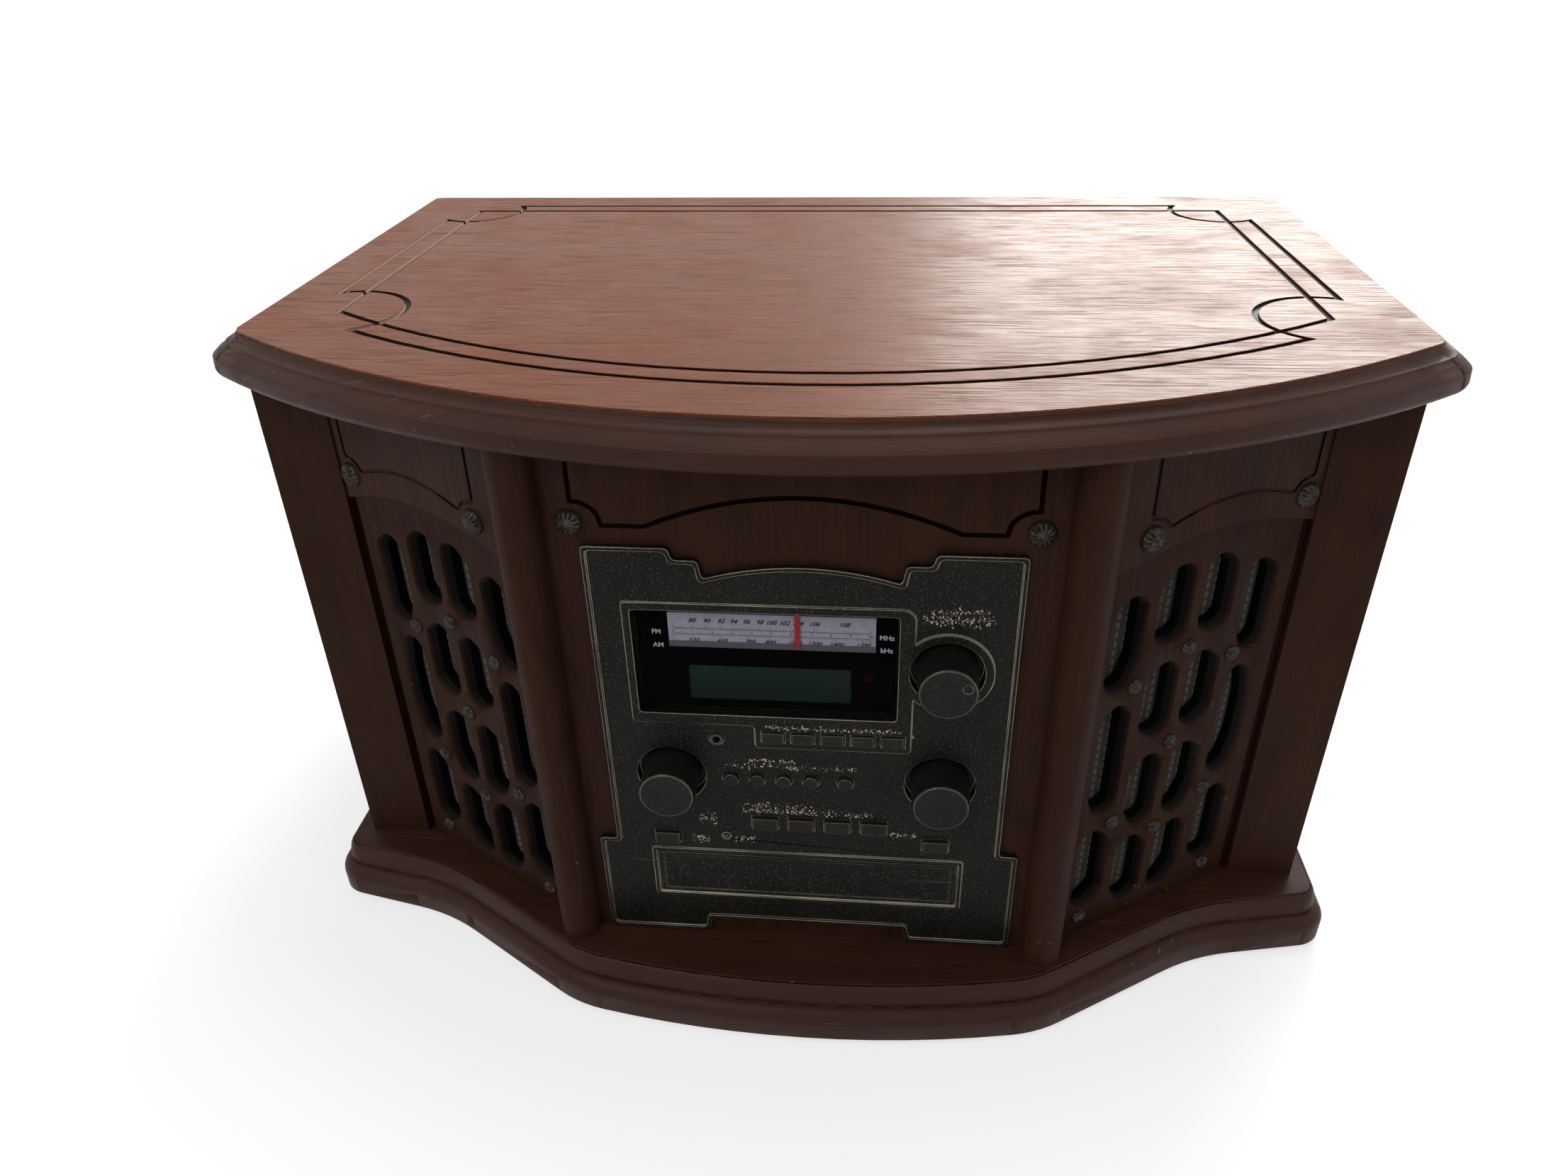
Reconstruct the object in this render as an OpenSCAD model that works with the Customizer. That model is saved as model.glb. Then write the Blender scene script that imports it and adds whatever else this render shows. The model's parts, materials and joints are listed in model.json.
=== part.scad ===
// Tabletop music center: a bow-fronted wooden cabinet with a hinged lid over a record deck,
// a moulded control fascia with a disc drawer below it, and a slotted speaker grille each side.
// Millimetres, +Z up, front towards -Y. The origin is on the floor under the cabinet's middle.

/* [Cabinet] */
// Height from the floor to the top of the lid
total_h = 322; // [316:1:330]
// Width across the base moulding
base_w = 540; // [536:1:552]
// Depth from the front of the base moulding to its rear edge
base_d = 362; // [358:1:370]
// Height of the ledge that the cabinet stands on
base_h = 32; // [30:1:34]
// How far the base moulding stands out beyond the ledge
base_lip = 9; // [8:0.5:10]
// Thickness of the base board
base_board_t = 12; // [9:0.5:14]
// Thickness of the pads under the base
pad_t = 1.5; // [1:0.5:3]
// Width of the cabinet across its side panels
body_w = 504; // [500:1:510]
// Thickness of the side panels and corner posts
side_t = 15; // [12:0.5:18]
// Thickness of the rear panel
rear_t = 5; // [4:0.5:6]
// Thickness of the centre front board
board_t = 8; // [7:0.5:8.5]

/* [Front] */
// Distance from the front of the base moulding back to the centre board's face
centre_set = 40; // [38:1:42]
// Distance from the front of the base moulding back to the corner posts' faces
post_set = 98.5; // [96:0.5:101]
// Width of a corner post's face
post_w = 32.5; // [30:0.5:35]
// Distance of each pilaster from the middle
pilaster_x = 115.5; // [112:0.5:117]
// Radius of the half-round pilasters
pilaster_r = 9.5; // [8:0.5:10]
// Thickness of the grille panels
grille_t = 9; // [7:0.5:10]
// Width of a grille slot at the panel's face
slot_w = 19; // [17:0.5:20]
// Width of the bevel round a grille slot
slot_bevel = 2.5; // [1.5:0.25:3]
// Distance from the top of the case down to the ends of the valance's arched lower edge
valance_drop = 60; // [56:1:64]
// Diameter of the small stud rosettes
stud_d = 8; // [7:0.5:9]
// Diameter of the large stud rosettes
big_stud_d = 12; // [10:0.5:13]

/* [Lid] */
// Height of the lid, from its lower edge to its top face
lid_h = 19; // [17:1:24]
// Width of the lid's top face
lid_w = 513; // [506:1:518]
// How far the lid moulding stands out beyond the top face
lid_lip = 12.5; // [11:0.5:14]
// How far the front of the lid bows out from its corners
lid_bow = 88; // [84:1:92]
// Radius of the lid's front corners
lid_corner_r = 10; // [8:1:12]
// Thickness of the lid's top panel
lid_panel_t = 10; // [8:0.5:12]
// How far the lid opens, in degrees
lid_open = 75; // [60:1:80]

/* [Fascia] */
// Width of the fascia's upper part
fascia_w = 182; // [180:1:184]
// Width of the fascia's foot, round the disc drawer
foot_w = 199; // [198:0.5:200]
// Height of the fascia
fascia_h = 222; // [220:1:224]
// Thickness of the fascia plate
fascia_t = 2; // [1.5:0.25:2.5]
// How far the fascia's rim stands out from its plate
rim_h = 1.2; // [0.8:0.1:1.6]
// Width of the display window
window_w = 114; // [110:1:116]
// Height of the display window
window_h = 54; // [52:1:56]
// Diameter of the control knobs
knob_d = 26.5; // [24:0.5:28]
// Diameter of the round recesses that the knobs sit in
well_d = 32; // [31:0.5:33]
// How far the knobs stand out from the fascia
knob_out = 15.5; // [12:0.5:18]
// Travel of the push buttons
button_travel = 1.2; // [0.8:0.1:1.5]
// Clearance between a moving piece and what guides it
running_gap = 0.3; // [0.2:0.05:0.4]

/* [Disc drawer] */
// Width of the drawer's door
door_w = 143; // [142:0.5:144]
// Height of the drawer's door
door_h = 26; // [24:0.5:27]
// Diameter of the disc recess
disc_d = 122; // [121:0.5:123]
// How far the drawer comes out
drawer_out = 135; // [120:1:140]

/* [Record deck] */
// Distance from the cabinet's top edge down to the deck plate
well_depth = 63; // [60:1:66]
// Thickness of the deck plate
deck_t = 4; // [3:0.5:5]
// Diameter of the platter
platter_d = 196; // [180:1:210]
// Distance of the spindle from the middle, towards the left
spindle_left = 45; // [42:1:48]
// Distance from the stylus forward to the back of the centre board
arm_room = 35.8; // [34:0.1:40]
// Radius of the lid stay's circle about the lid hinge
stay_r = 90; // [85:1:95]

/* [Hidden] */
$fn = 64;

// Hairline joint between two solids of one piece
seam = 0.02;
// Shared clearance between pieces that lie side by side
fit_gap = 0.2;
// Main planes of the cabinet
front_y = -base_d / 2;
rear_y = base_d / 2;
body_top = total_h - lid_h;
// Top of the cabinet's own boards, just clear of the closed lid
case_top = body_top - running_gap;
half_body = body_w / 2;
post_y = front_y + post_set;
board_y = front_y + centre_set;
rear_face_y = rear_y - 3.2;
rear_inner_y = rear_face_y - rear_t;
lid_rear_y = rear_y - 1;

// Ledge path of the base: a shallow front arc, a round shoulder, a straight flank, a hollow,
// a short straight and a round corner. Angles are headings from the front's own line.
ledge_arc_r = 560;
ledge_arc_x = 100;
shoulder_r = 60;
flank_angle = 32;
flank_l = 67;
hollow_r = 120;
wing_angle = 11.5;
base_corner_r = 8;
half_ledge = base_w / 2 - base_lip;
arc_angle = asin(ledge_arc_x / ledge_arc_r);
hollow_x = hollow_r * (sin(flank_angle) - sin(wing_angle));
wing_x = ledge_arc_x + shoulder_r * (sin(flank_angle) - sin(arc_angle))
  + flank_l * cos(flank_angle) + hollow_x;
wing_l = (half_ledge - base_corner_r * (1 - sin(wing_angle)) - wing_x) / cos(wing_angle);
base_turns = [
  [base_corner_r, 90 - wing_angle], [wing_l, 0], [hollow_r, wing_angle - flank_angle],
  [flank_l, 0], [shoulder_r, flank_angle - arc_angle]
];
// Front y of the ledge's side, where the round corner ends
ledge_front_y = front_y + base_lip;
ledge_side_y = ledge_front_y + ledge_arc_r * (1 - cos(arc_angle))
  + shoulder_r * (cos(arc_angle) - cos(flank_angle)) + flank_l * sin(flank_angle)
  + hollow_r * (cos(wing_angle) - cos(flank_angle)) + wing_l * sin(wing_angle)
  + base_corner_r * cos(wing_angle);
base_path = concat(
  [[rear_y - ledge_side_y, 0]], base_turns, [[ledge_arc_r, 2 * arc_angle]],
  reversed(base_turns), [[rear_y - ledge_side_y, 0]]);
base_start = [-half_ledge, rear_y, -90];

// Edge path of the lid's top face
half_lid = lid_w / 2;
lid_front_y = front_y + 17;
lid_arc_r = (half_lid * half_lid + lid_bow * lid_bow) / (2 * lid_bow);
lid_arc_angle = asin((half_lid - lid_corner_r) / (lid_arc_r - lid_corner_r));
lid_side_y = lid_front_y + lid_arc_r - (lid_arc_r - lid_corner_r) * cos(lid_arc_angle);
lid_corner = [lid_corner_r, 90 - lid_arc_angle];
lid_side = [lid_rear_y - lid_side_y, 0];
lid_path = [lid_side, lid_corner, [lid_arc_r, 2 * lid_arc_angle], lid_corner, lid_side];
lid_start = [-half_lid, lid_rear_y, -90];
lid_rear_r = 20;
lid_rim_w = 22;

pad_r = 7;

// Grille plane, from the corner post in to the pilaster
groove_w = 4.5;
grille_out = [half_body - post_w - 2.5, post_y + 1.5];
grille_in = [pilaster_x + pilaster_r, board_y + 5.4];
grille_run = grille_out - grille_in;
grille_angle = atan2(grille_run[1], grille_run[0]);
grille_l = norm(grille_run);
slot_mid = 56.5;
cloth_t = 0.8;
baffle_t = 9;
// Slots of one half of a grille, mirrored about its middle: [centre, low, high, top slope,
// bottom slope], where a slope is how much higher the slot's outer side is than its inner side
slot_rows = [
  [12, 198, 238.5, -3, 0], [12, 145.5, 188.5, -2, 2], [12, 91, 136, -2, 7],
  [12, 40, 84, 2, 5], [36.5, 188.5, 229.5, -2, -9], [36.5, 108, 172.5, -14, 12],
  [36.5, 51, 95, 4, -3]
];
// Small studs on a grille: [offset from the grille's middle, height]
stud_places = [
  [0, 193], [-28, 181], [28, 181], [0, 140], [-28, 101], [28, 101], [0, 86.5],
  [-39.5, 45], [39.5, 43]
];
big_stud_z = body_top - 46;
big_stud_s = [6, 90];
centre_stud = [95, body_top - 38];
groove_d = 1.3;
lid_line_w = 2.8;
valance_z = body_top - valance_drop;
valance_rise = 10;
valance_t = 1.5;
valance_out = -2.3;

// Lid hinge axis and the stay's two pivots, which lie on one circle about the hinge axis
hinge_y = rear_y - 3.5;
hinge_z = body_top;
hinge_x = 195;
leaf_front_y = rear_inner_y - 11;
hinge_pin_r = 1.2;
hinge_barrel_r = 2.4;
leaf_t = 1.2;
leaf_w = 36;
stay_lift = 3;
stay_spread = 35;
stay_x = half_body - side_t - 12;
stay_t = 2;
stay_w = 10;
stay_pin_r = 2.5;
pin_gap = 0.08;
stay_angle = 180 - asin(stay_lift / stay_r);
stay_top = [hinge_y + stay_r * cos(stay_angle), hinge_z + stay_r * sin(stay_angle)];
stay_foot = [
  hinge_y + stay_r * cos(stay_angle + stay_spread),
  hinge_z + stay_r * sin(stay_angle + stay_spread)
];
stay_min = 2 * stay_r * sin(stay_spread / 2);
stay_max = 2 * stay_r * sin((stay_spread + lid_open) / 2);

// Record deck planes
deck_z = body_top - well_depth;
rail_h = 14;
spindle_x = -spindle_left;
spindle_y = (rear_inner_y + board_y + board_t) / 2;
platter_r = platter_d / 2;
platter_low = deck_z + 3;
platter_t = 5;
mat_t = 2.5;
record_t = 2;
bearing_r = 3.5;
belt_rim_r = 62;
belt_t = 0.7;
pulley_r = 5;
pulley_x = spindle_x - 60;
pulley_y = spindle_y + 60;
arm_x = spindle_x + 173;
arm_y = rear_inner_y - 65;
arm_l = arm_y - board_y - board_t - arm_room;
arm_z = deck_z + 26;
arm_r = 4;
yoke_w = 9;
cue_x = arm_x + 32;
cue_z = deck_z + 10;
selector_x = arm_x + 40;
selector_y = spindle_y - 60;
// Disc drawer and its mechanism
tray_w = 132;
tray_l = 150;
tray_h = 8;
tray_depth = 5;
tray_wall = 3;
// Socket plate in the rear panel
socket_x = 172;
socket_z = 78;
socket_w = 70;
socket_h = 44;

// Fascia: its plate lies on the centre board, over the board's cut-out
fascia_y = board_y - fascia_t;
fascia_z = base_h + 1.5;
cut_x = 84;
cut_low = base_h + 15;
cut_high = base_h + 206;
plateau_h = 0.8;
window_x = -16.2;
window_z = fascia_z + 164.6;
knob_x = 61.5;
low_knob_z = fascia_z + 101.5;
tuning_z = fascia_z + 164;
knob_r = knob_d / 2;
well_r = well_d / 2;
well_floor_y = board_y + 3.5;
shaft_r = 3;
door_z = fascia_z + 39.5;
pcb_y = board_y + 13;
pcb_t = 1.6;
switch_h = 4;
// Push buttons: [x, height above the fascia's foot], and the size of each kind's cap
source_pitch = 13.35;
source_x = -13.8;
source_z = fascia_z + 126.2;
source_size = [10, 5.6];
transport_x = [-34, -21.8, -9.6, 2.8, 18.7];
transport_z = fascia_z + 100.4;
transport_d = 7;
edit_pitch = 17;
edit_x = -18.9;
edit_z = fascia_z + 74.2;
edit_size = [12, 7];
power_at = [-66, fascia_z + 62.7];
open_at = [61, fascia_z + 64.7];
wide_size = [12, 6.8];
jack_at = [-39.5, fascia_z + 123.4];
jack_bore_r = 1.8;
lamp_at = [-37.7, fascia_z + 64.6];
stereo_at = [60.2, fascia_z + 192.5];
lamp_r = 1.5;
rail_z = window_z + window_h / 2 + 3;
rail_y = board_y + 7;
rail_r = 1;
speaker_s = 54;
speaker_z = 135;
speaker_d = 77;
lid_hollow_front = board_y + 33;
scale_w = 89;
scale_h = 17.4;
scale_at = [-13.6, window_z + 14.7];
carrier_y = board_y + 3;
pointer_x = -2.4;
tray_y = fascia_y + 3;
tray_z = door_z - 9;

// The list in reverse order
function reversed(list) = [for (i = [len(list) - 1:-1:0]) list[i]];

// Pose [x, y, heading] at the end of one path step: [length, 0] is straight, and
// [radius, turn] is an arc, to the left where turn is positive
function step_end(p, s) = s[1] == 0
  ? [p[0] + s[0] * cos(p[2]), p[1] + s[0] * sin(p[2]), p[2]]
  : let (r = sign(s[1]) * s[0])
    [p[0] - r * sin(p[2]) + r * sin(p[2] + s[1]), p[1] + r * cos(p[2]) - r * cos(p[2] + s[1]),
     p[2] + s[1]];

// Poses at the start of each step of a path
function poses(path, start, i = 0) = i == len(path)
  ? [] : concat([start], poses(path, step_end(start, path[i]), i + 1));

// Points along a path, moved to its right by out, with arcs in steps of about 3 degrees, or of
// 0.8 mm where that is longer
function path_points(path, start, out = 0) = let (starts = poses(path, start)) [
  for (i = [0:len(path) - 1])
    let (s = path[i], turn = abs(s[1]),
         n = turn == 0 ? 1 : max(2, min(ceil(turn / 3), ceil(s[0] * turn * PI / 180 / 0.8))))
      for (k = [0:n])
        if (k > 0 || i == 0)
          let (part = s[1] == 0 ? [s[0] * k / n, 0] : [s[0], s[1] * k / n],
               p = k == 0 ? starts[i] : step_end(starts[i], part))
            [p[0] + out * sin(p[2]), p[1] - out * cos(p[2])]
];

// Corner points of an elliptical quarter or other stretch of an ellipse
function ellipse(c, rx, ry, from, to, n = 10) = [
  for (i = [0:n]) let (a = from + (to - from) * i / n) [c[0] + rx * cos(a), c[1] + ry * sin(a)]
];

// A profile (x outwards to the right of the path, y up) swept along a path of straights and
// arcs; each step is one length of moulding, and seam is the hairline joint between two lengths
module swept(path, start, seam = 0) {
  starts = poses(path, start);
  for (i = [0:len(path) - 1]) {
    s = path[i];
    p = starts[i];
    r = s[0];
    turn = s[1];
    cut = turn == 0 ? seam / 2 : seam / 2 / r * 180 / PI;
    if (turn == 0)
      translate([p[0], p[1], 0]) rotate(p[2]) translate([r - cut, 0, 0]) rotate([90, 0, -90])
        linear_extrude(r - 2 * cut) children();
    else if (turn > 0)
      translate([p[0] - r * sin(p[2]), p[1] + r * cos(p[2]), 0])
        rotate(p[2] - 90 + cut) rotate_extrude(angle = turn - 2 * cut, $fn = 180)
          translate([r, 0]) children();
    else
      translate([p[0] + r * sin(p[2]), p[1] - r * cos(p[2]), 0])
        rotate(p[2] + 90 + turn + cut) rotate_extrude(angle = -turn - 2 * cut, $fn = 180)
          translate([r, 0]) mirror([1, 0]) children();
  }
}

// A flat groove's cutter along a path, with the face that it is cut in at z = 0
module groove_along(path, start, half, depth) {
  translate([0, 0, -depth]) linear_extrude(depth + 1)
    polygon(concat(path_points(path, start, half), reversed(path_points(path, start, -half))));
}

// A line along the outline of a flat child, half wide on each side of it
module line_of(half) {
  difference() {
    offset(delta = half) children();
    offset(delta = -half) children();
  }
}

// The child and its mirror image on the other side of the cabinet
module both_sides() {
  children();
  mirror([1, 0, 0]) children();
}

// The left grille's own frame: x runs in along the panel from its outer end, y runs back
module at_grille() {
  translate([-grille_out[0], grille_out[1], 0]) rotate(-grille_angle) children();
}

// A box given by its low and high corners
module block(low, high) {
  translate(low) cube(high - low);
}

// A rod along +Y from y0 to y1
module rod_y(x, z, y0, y1, r) {
  translate([x, y0, z]) rotate([-90, 0, 0]) cylinder(h = y1 - y0, r = r);
}

// A rod along +X from x0 to x1
module rod_x(y, z, x0, x1, r) {
  translate([x0, y, z]) rotate([0, 90, 0]) cylinder(h = x1 - x0, r = r);
}

// Base moulding's section: a shelf under the board, a convex band, a quirk and an ovolo
module base_profile() {
  shelf = base_h - base_board_t;
  quirk_z = 0.64 * base_h;
  nose_z = 0.38 * base_h;
  step = 0.6;
  polygon(concat(
    [[-7, pad_t], [-7, shelf], [0, shelf]],
    ellipse([0, quirk_z], 0.36 * base_lip, base_h - step - quirk_z, 90, 0),
    [[0.25 * base_lip, quirk_z - 0.8]],
    ellipse([0.27 * base_lip, nose_z], 0.73 * base_lip, quirk_z - nose_z - 0.8, 80, 0),
    [[base_lip, pad_t + 1.5], [base_lip - 1.5, pad_t]]));
}

module base_moulding() {
  color("#3a1c12") swept(base_path, base_start, seam) base_profile();
}

module base_board() {
  shelf = base_h - base_board_t;
  edge = path_points(base_path, base_start, -fit_gap);
  color("#3b2014") translate([0, 0, shelf]) linear_extrude(base_board_t) polygon(edge);
}

module foot_pads() {
  pad_x = half_ledge + 0.5;
  color("#1c1c1c") both_sides()
    for (at = [[pad_x, rear_y - 24], [pad_x, ledge_side_y + 20], [70, ledge_front_y + 5.5]])
      translate([-at[0], at[1], 0]) cylinder(h = pad_t, r = pad_r);
}

module side_panels() {
  color("#3b2014") difference() {
    both_sides()
      block([-half_body, post_y + side_t, base_h], [side_t - half_body, rear_face_y, case_top]);
    hinge_relief();
  }
}

// Rebate along the case's top rear edge, which the lid's rear edge turns into
module hinge_relief() {
  block([-half_body - 1, hinge_y - 0.5, case_top - 1.6], [half_body + 1, rear_face_y + 1, case_top + 1]);
}

// Outline of the valance's face in the grille's own frame, with its arched lower edge
function valance_edge() = let (
  n = 12, a = valance_out, b = grille_l - 0.2,
  top = case_top
) concat([[a, top], [a, valance_z]], [
  for (i = [1:n - 1]) [a + (b - a) * i / n, valance_z + valance_rise * sin(180 * i / n)]
], [[b, valance_z], [b, top]]);

module valance_groove() {
  rise = 6;
  span = 64;
  arch_r = (span * span / 4 + rise * rise) / (2 * rise);
  arch_angle = asin(span / 2 / arch_r);
  drop = valance_drop - 27.5;
  path = [[drop, 0], [1.5, 90], [9, -60], [2, 60 + arch_angle], [arch_r, -2 * arch_angle],
    [2, 60 + arch_angle], [9, -60], [1.5, 90], [drop, 0]];
  width = step_end(poses(path, [0, 0, -90])[8], path[8])[0];
  translate([slot_mid - 8.5 - width / 2, -valance_t, body_top - 3]) rotate([90, 0, 0])
    groove_along(path, [0, 0, -90], 0.9, 0.9);
}

// Arched boards laid over the tops of the grille panels
module valances() {
  both_sides() difference() {
    at_grille() difference() {
      rotate([90, 0, 0]) linear_extrude(valance_t) polygon(valance_edge());
      valance_groove();
    }
    block([-grille_in[0], board_y - 30, base_h - 1], [0, board_y + 60, body_top + 1]);
  }
}

// Corner posts, half-round pilasters and arched valances of the front
module front_posts() {
  x0 = -half_body;
  x1 = x0 + post_w;
  tongue = x1 + groove_w - fit_gap;
  color("#3e2216") both_sides() {
    translate([0, 0, base_h]) linear_extrude(case_top - base_h)
      polygon([[x0, post_y], [x1, post_y], [x1, post_y + 6.5], [tongue, post_y + 6.5],
        [tongue, post_y + side_t], [x0, post_y + side_t]]);
    translate([-pilaster_x, 0, base_h]) linear_extrude(case_top - base_h) {
      translate([0, board_y - 3]) intersection() {
        circle(r = pilaster_r);
        translate([-pilaster_r, -pilaster_r]) square([2 * pilaster_r, pilaster_r]);
      }
      translate([-pilaster_r, board_y - 3]) square([2 * pilaster_r, 3]);
    }
  }
  color("#46261a") valances();
}

module rear_panel() {
  vent_w = 60;
  vent_h = 4;
  vent_z = 60;
  color("#2c1a12") difference() {
    block([side_t - half_body + fit_gap, rear_inner_y, base_h],
      [half_body - side_t - fit_gap, rear_face_y, case_top]);
    for (i = [0:5], side = [-1, 1])
      translate([side * 110 - vent_w / 2, rear_inner_y - 1, vent_z + 12 * i])
        cube([vent_w, rear_t + 2, vent_h]);
    block([socket_x - socket_w / 2, rear_inner_y - 1, socket_z - socket_h / 2],
      [socket_x + socket_w / 2, rear_face_y + 1, socket_z + socket_h / 2]);
    both_sides() block([-hinge_x - leaf_w / 2 - 0.5, rear_inner_y - 1, body_top - 3],
      [-hinge_x + leaf_w / 2 + 0.5, rear_face_y + 1, body_top + 1]);
    hinge_relief();
  }
}

// Outline of the raised field of the centre board: it curls round the studs and rises in an arch
front_line = let (z = centre_stud[1] - 1.5, w = centre_stud[0], flat = 64, rise = 14.5) concat(
  [[1.5 - w, case_top + 5]], ellipse([1 - w, z + 1.5], 12, 9.5, 88, 0, 6), [[13.5 - w, z], [-flat, z]],
  [for (i = [1:15]) let (u = i / 8 - 1) [flat * u, z + rise * (1 - u * u)]],
  [[flat, z], [w - 13.5, z]], ellipse([w - 1, z + 1.5], 12, 9.5, 180, 92, 6),
  [[w - 1.5, case_top + 5]]);

module front_board() {
  color("#3e2216") difference() {
    block([-grille_in[0], board_y, base_h], [grille_in[0], board_y + board_t, case_top]);
    block([-cut_x, board_y - 1, cut_low], [cut_x, board_y + board_t + 1, cut_high]);
    translate([0, board_y + groove_d, 0]) rotate([90, 0, 0]) linear_extrude(groove_d + 1)
      line_of(1) polygon(front_line);
  }
}

// One slot's cutter: a rounded, sloping-ended outline, straight at the back and bevelled in front
module slot_cut(mid, low, high, top_slope, low_slope, side) {
  half = slot_w / 2;
  round = 8;
  inner = slot_mid + side * (mid - half + round);
  outer = slot_mid + side * (mid + half - round);
  corners = [
    [inner, high - round], [outer, high - round + top_slope],
    [outer, low + round + low_slope], [inner, low + round]
  ];
  hull()
    for (c = corners) translate([c[0], 0, c[1]]) rotate([-90, 0, 0])
      cylinder(h = slot_bevel + 1.5, r1 = round, r2 = round - slot_bevel, $fn = 24);
  hull()
    for (c = corners) translate([c[0], -1, c[1]]) rotate([-90, 0, 0])
      cylinder(h = grille_t + 2, r = round - slot_bevel, $fn = 24);
}

module grille_panel() {
  out_s = 2.3;
  difference() {
    translate([out_s, 0, base_h]) cube([grille_l - out_s, grille_t, case_top - base_h]);
    for (row = slot_rows, side = [-1, 1])
      slot_cut(row[0], row[1], row[2], row[3], row[4], side);
  }
}

module grille_panels() {
  tongue_x = half_body - post_w - groove_w;
  color("#46261a") both_sides() difference() {
    at_grille() grille_panel();
    block([-grille_in[0], board_y - 30, base_h - 1], [0, board_y + 60, body_top + 1]);
    block([-half_body, post_y + 6, base_h - 1], [-tongue_x, post_y + 60, body_top + 1]);
  }
}

module grille_cloths() {
  color("#17130f") both_sides() at_grille()
    translate([6, grille_t + 0.05, base_h + 3]) cube([grille_l - 12, cloth_t, valance_z - base_h]);
}

module speaker_baffles() {
  y0 = grille_t + cloth_t + 0.15;
  color("#6b5238") both_sides() at_grille() difference() {
    translate([6, y0, base_h]) cube([grille_l - 12, baffle_t, deck_z - deck_t - 2 - base_h]);
    rod_y(speaker_s, speaker_z, y0 - 1, y0 + baffle_t + 1, speaker_d / 2 - 4);
  }
}

// A small full-range speaker: flange and basket, a paper cone with its dust cap, and a magnet
module speakers() {
  y0 = grille_t + cloth_t + baffle_t + 0.15;
  r = speaker_d / 2;
  color("#262626") both_sides() at_grille() translate([speaker_s, y0, speaker_z])
    rotate([-90, 0, 0]) {
      rotate_extrude() polygon([
        [r - 5, 0], [r, 0], [r, 2], [r - 4, 3], [19, 21], [19, 22], [23, 22], [23, 38], [0, 38],
        [0, 14], [4, 14.6], [7.5, 16.4], [10, 19], [r - 8, 2.2], [r - 5, 1.2]
      ]);
    }
}

// A domed rosette with a shank, standing out of the plane z = 0
module stud(d) {
  dome_r = 0.62 * d;
  lift = dome_r - 0.32 * d;
  intersection() {
    translate([0, 0, -lift]) sphere(r = dome_r);
    cylinder(h = dome_r, r = d / 2);
  }
}

module rosette_studs() {
  color("#6d675c") {
    both_sides() at_grille() {
      for (p = stud_places)
        translate([slot_mid + p[0], 0, p[1]]) rotate([90, 0, 0]) stud(stud_d);
      for (s = big_stud_s)
        translate([s, -valance_t, big_stud_z]) rotate([90, 0, 0]) stud(big_stud_d);
    }
    both_sides() translate([-centre_stud[0], board_y, centre_stud[1]]) rotate([90, 0, 0])
      stud(big_stud_d);
  }
}

// Battens inside the cabinet: two carry the deck, two take the hinge screws
module deck_rails() {
  rail_w = 9;
  hinge_block_w = 40;
  hinge_block_h = 34;
  inner_x = half_body - side_t;
  rail_y0 = post_y + side_t + 8;
  color("#8a6a45") both_sides() {
    block([-inner_x, rail_y0, deck_z - deck_t - rail_h],
      [rail_w - inner_x, rear_inner_y, deck_z - deck_t]);
    block([-hinge_x - hinge_block_w / 2, rear_inner_y - 12, body_top - hinge_block_h],
      [-hinge_x + hinge_block_w / 2, rear_inner_y, body_top - leaf_t - 0.1]);
  }
}

// Inner outline of the lines in the lid's top
lid_inner = let (
  r = lid_arc_r - 44, y = lid_front_y + lid_arc_r, a = asin((half_lid - 37) / r),
  rear = lid_rear_y - 36
) concat([[41 - half_lid, rear], [half_lid - 41, rear]],
  [for (i = [0:24]) let (b = a * (1 - i / 12)) [r * sin(b), y - r * cos(b)]]);

// Outer outline, notched round the corners of the inner one
module lid_outer() {
  front = lid_inner[2];
  rear = lid_inner[1];
  difference() {
    offset(delta = 12.5) polygon(lid_inner);
    both_sides() {
      translate(front) circle(r = 30.5, $fn = 48);
      translate(rear) circle(r = 25.5, $fn = 48);
    }
  }
}

// Two lines cut in the lid's top
module lid_grooves() {
  translate([0, 0, total_h - groove_d]) linear_extrude(groove_d + 1) {
    line_of(lid_line_w / 2) polygon(lid_inner);
    line_of(lid_line_w / 2) lid_outer();
  }
}

module lid_panel() {
  edge = path_points(lid_path, lid_start, -fit_gap);
  color("#5a2a1a") difference() {
    translate([0, 0, total_h - lid_panel_t]) linear_extrude(lid_panel_t) polygon(edge);
    lid_rear_corners();
    lid_grooves();
  }
}

// What is cut away to round the lid's rear corners in plan
module lid_rear_corners() {
  x = half_lid + lid_lip - lid_rear_r;
  both_sides() translate([-x, lid_rear_y - lid_rear_r, body_top - 1]) difference() {
    translate([-lid_rear_r - 1, 0, 0]) cube([lid_rear_r + 1, lid_rear_r + 1, lid_h + 2]);
    translate([0, 0, -1]) cylinder(h = lid_h + 4, r = lid_rear_r);
  }
}

// Lid moulding's section: a cove, a fillet, a sloping face, and a nose that turns back under
module lid_profile() {
  under = 1.5;
  cove = [5.2, total_h - 1.2];
  fillet_z = total_h - 0.25 * lid_h;
  arris_z = total_h - 0.5 * lid_h;
  nose_r = 4.6;
  polygon(concat(
    [[0, body_top], [under, body_top]],
    ellipse([lid_lip - nose_r, body_top + nose_r], nose_r, nose_r, -90, -4),
    [[lid_lip - 0.4, arris_z - 0.5], [lid_lip - 0.9, arris_z]],
    [[(lid_lip + 5) / 2, (arris_z + fillet_z) / 2 + 0.1], [cove[0] + 0.4, fillet_z - 0.7]],
    [[cove[0] + 0.3, fillet_z + 0.2]],
    ellipse(cove, 4.6, cove[1] - fillet_z - 0.2, 270, 182),
    [[0, cove[1]]]));
}

module lid_moulding() {
  color("#3a1c12") difference() {
    swept(lid_path, lid_start, seam) lid_profile();
    lid_rear_corners();
  }
}

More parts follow.
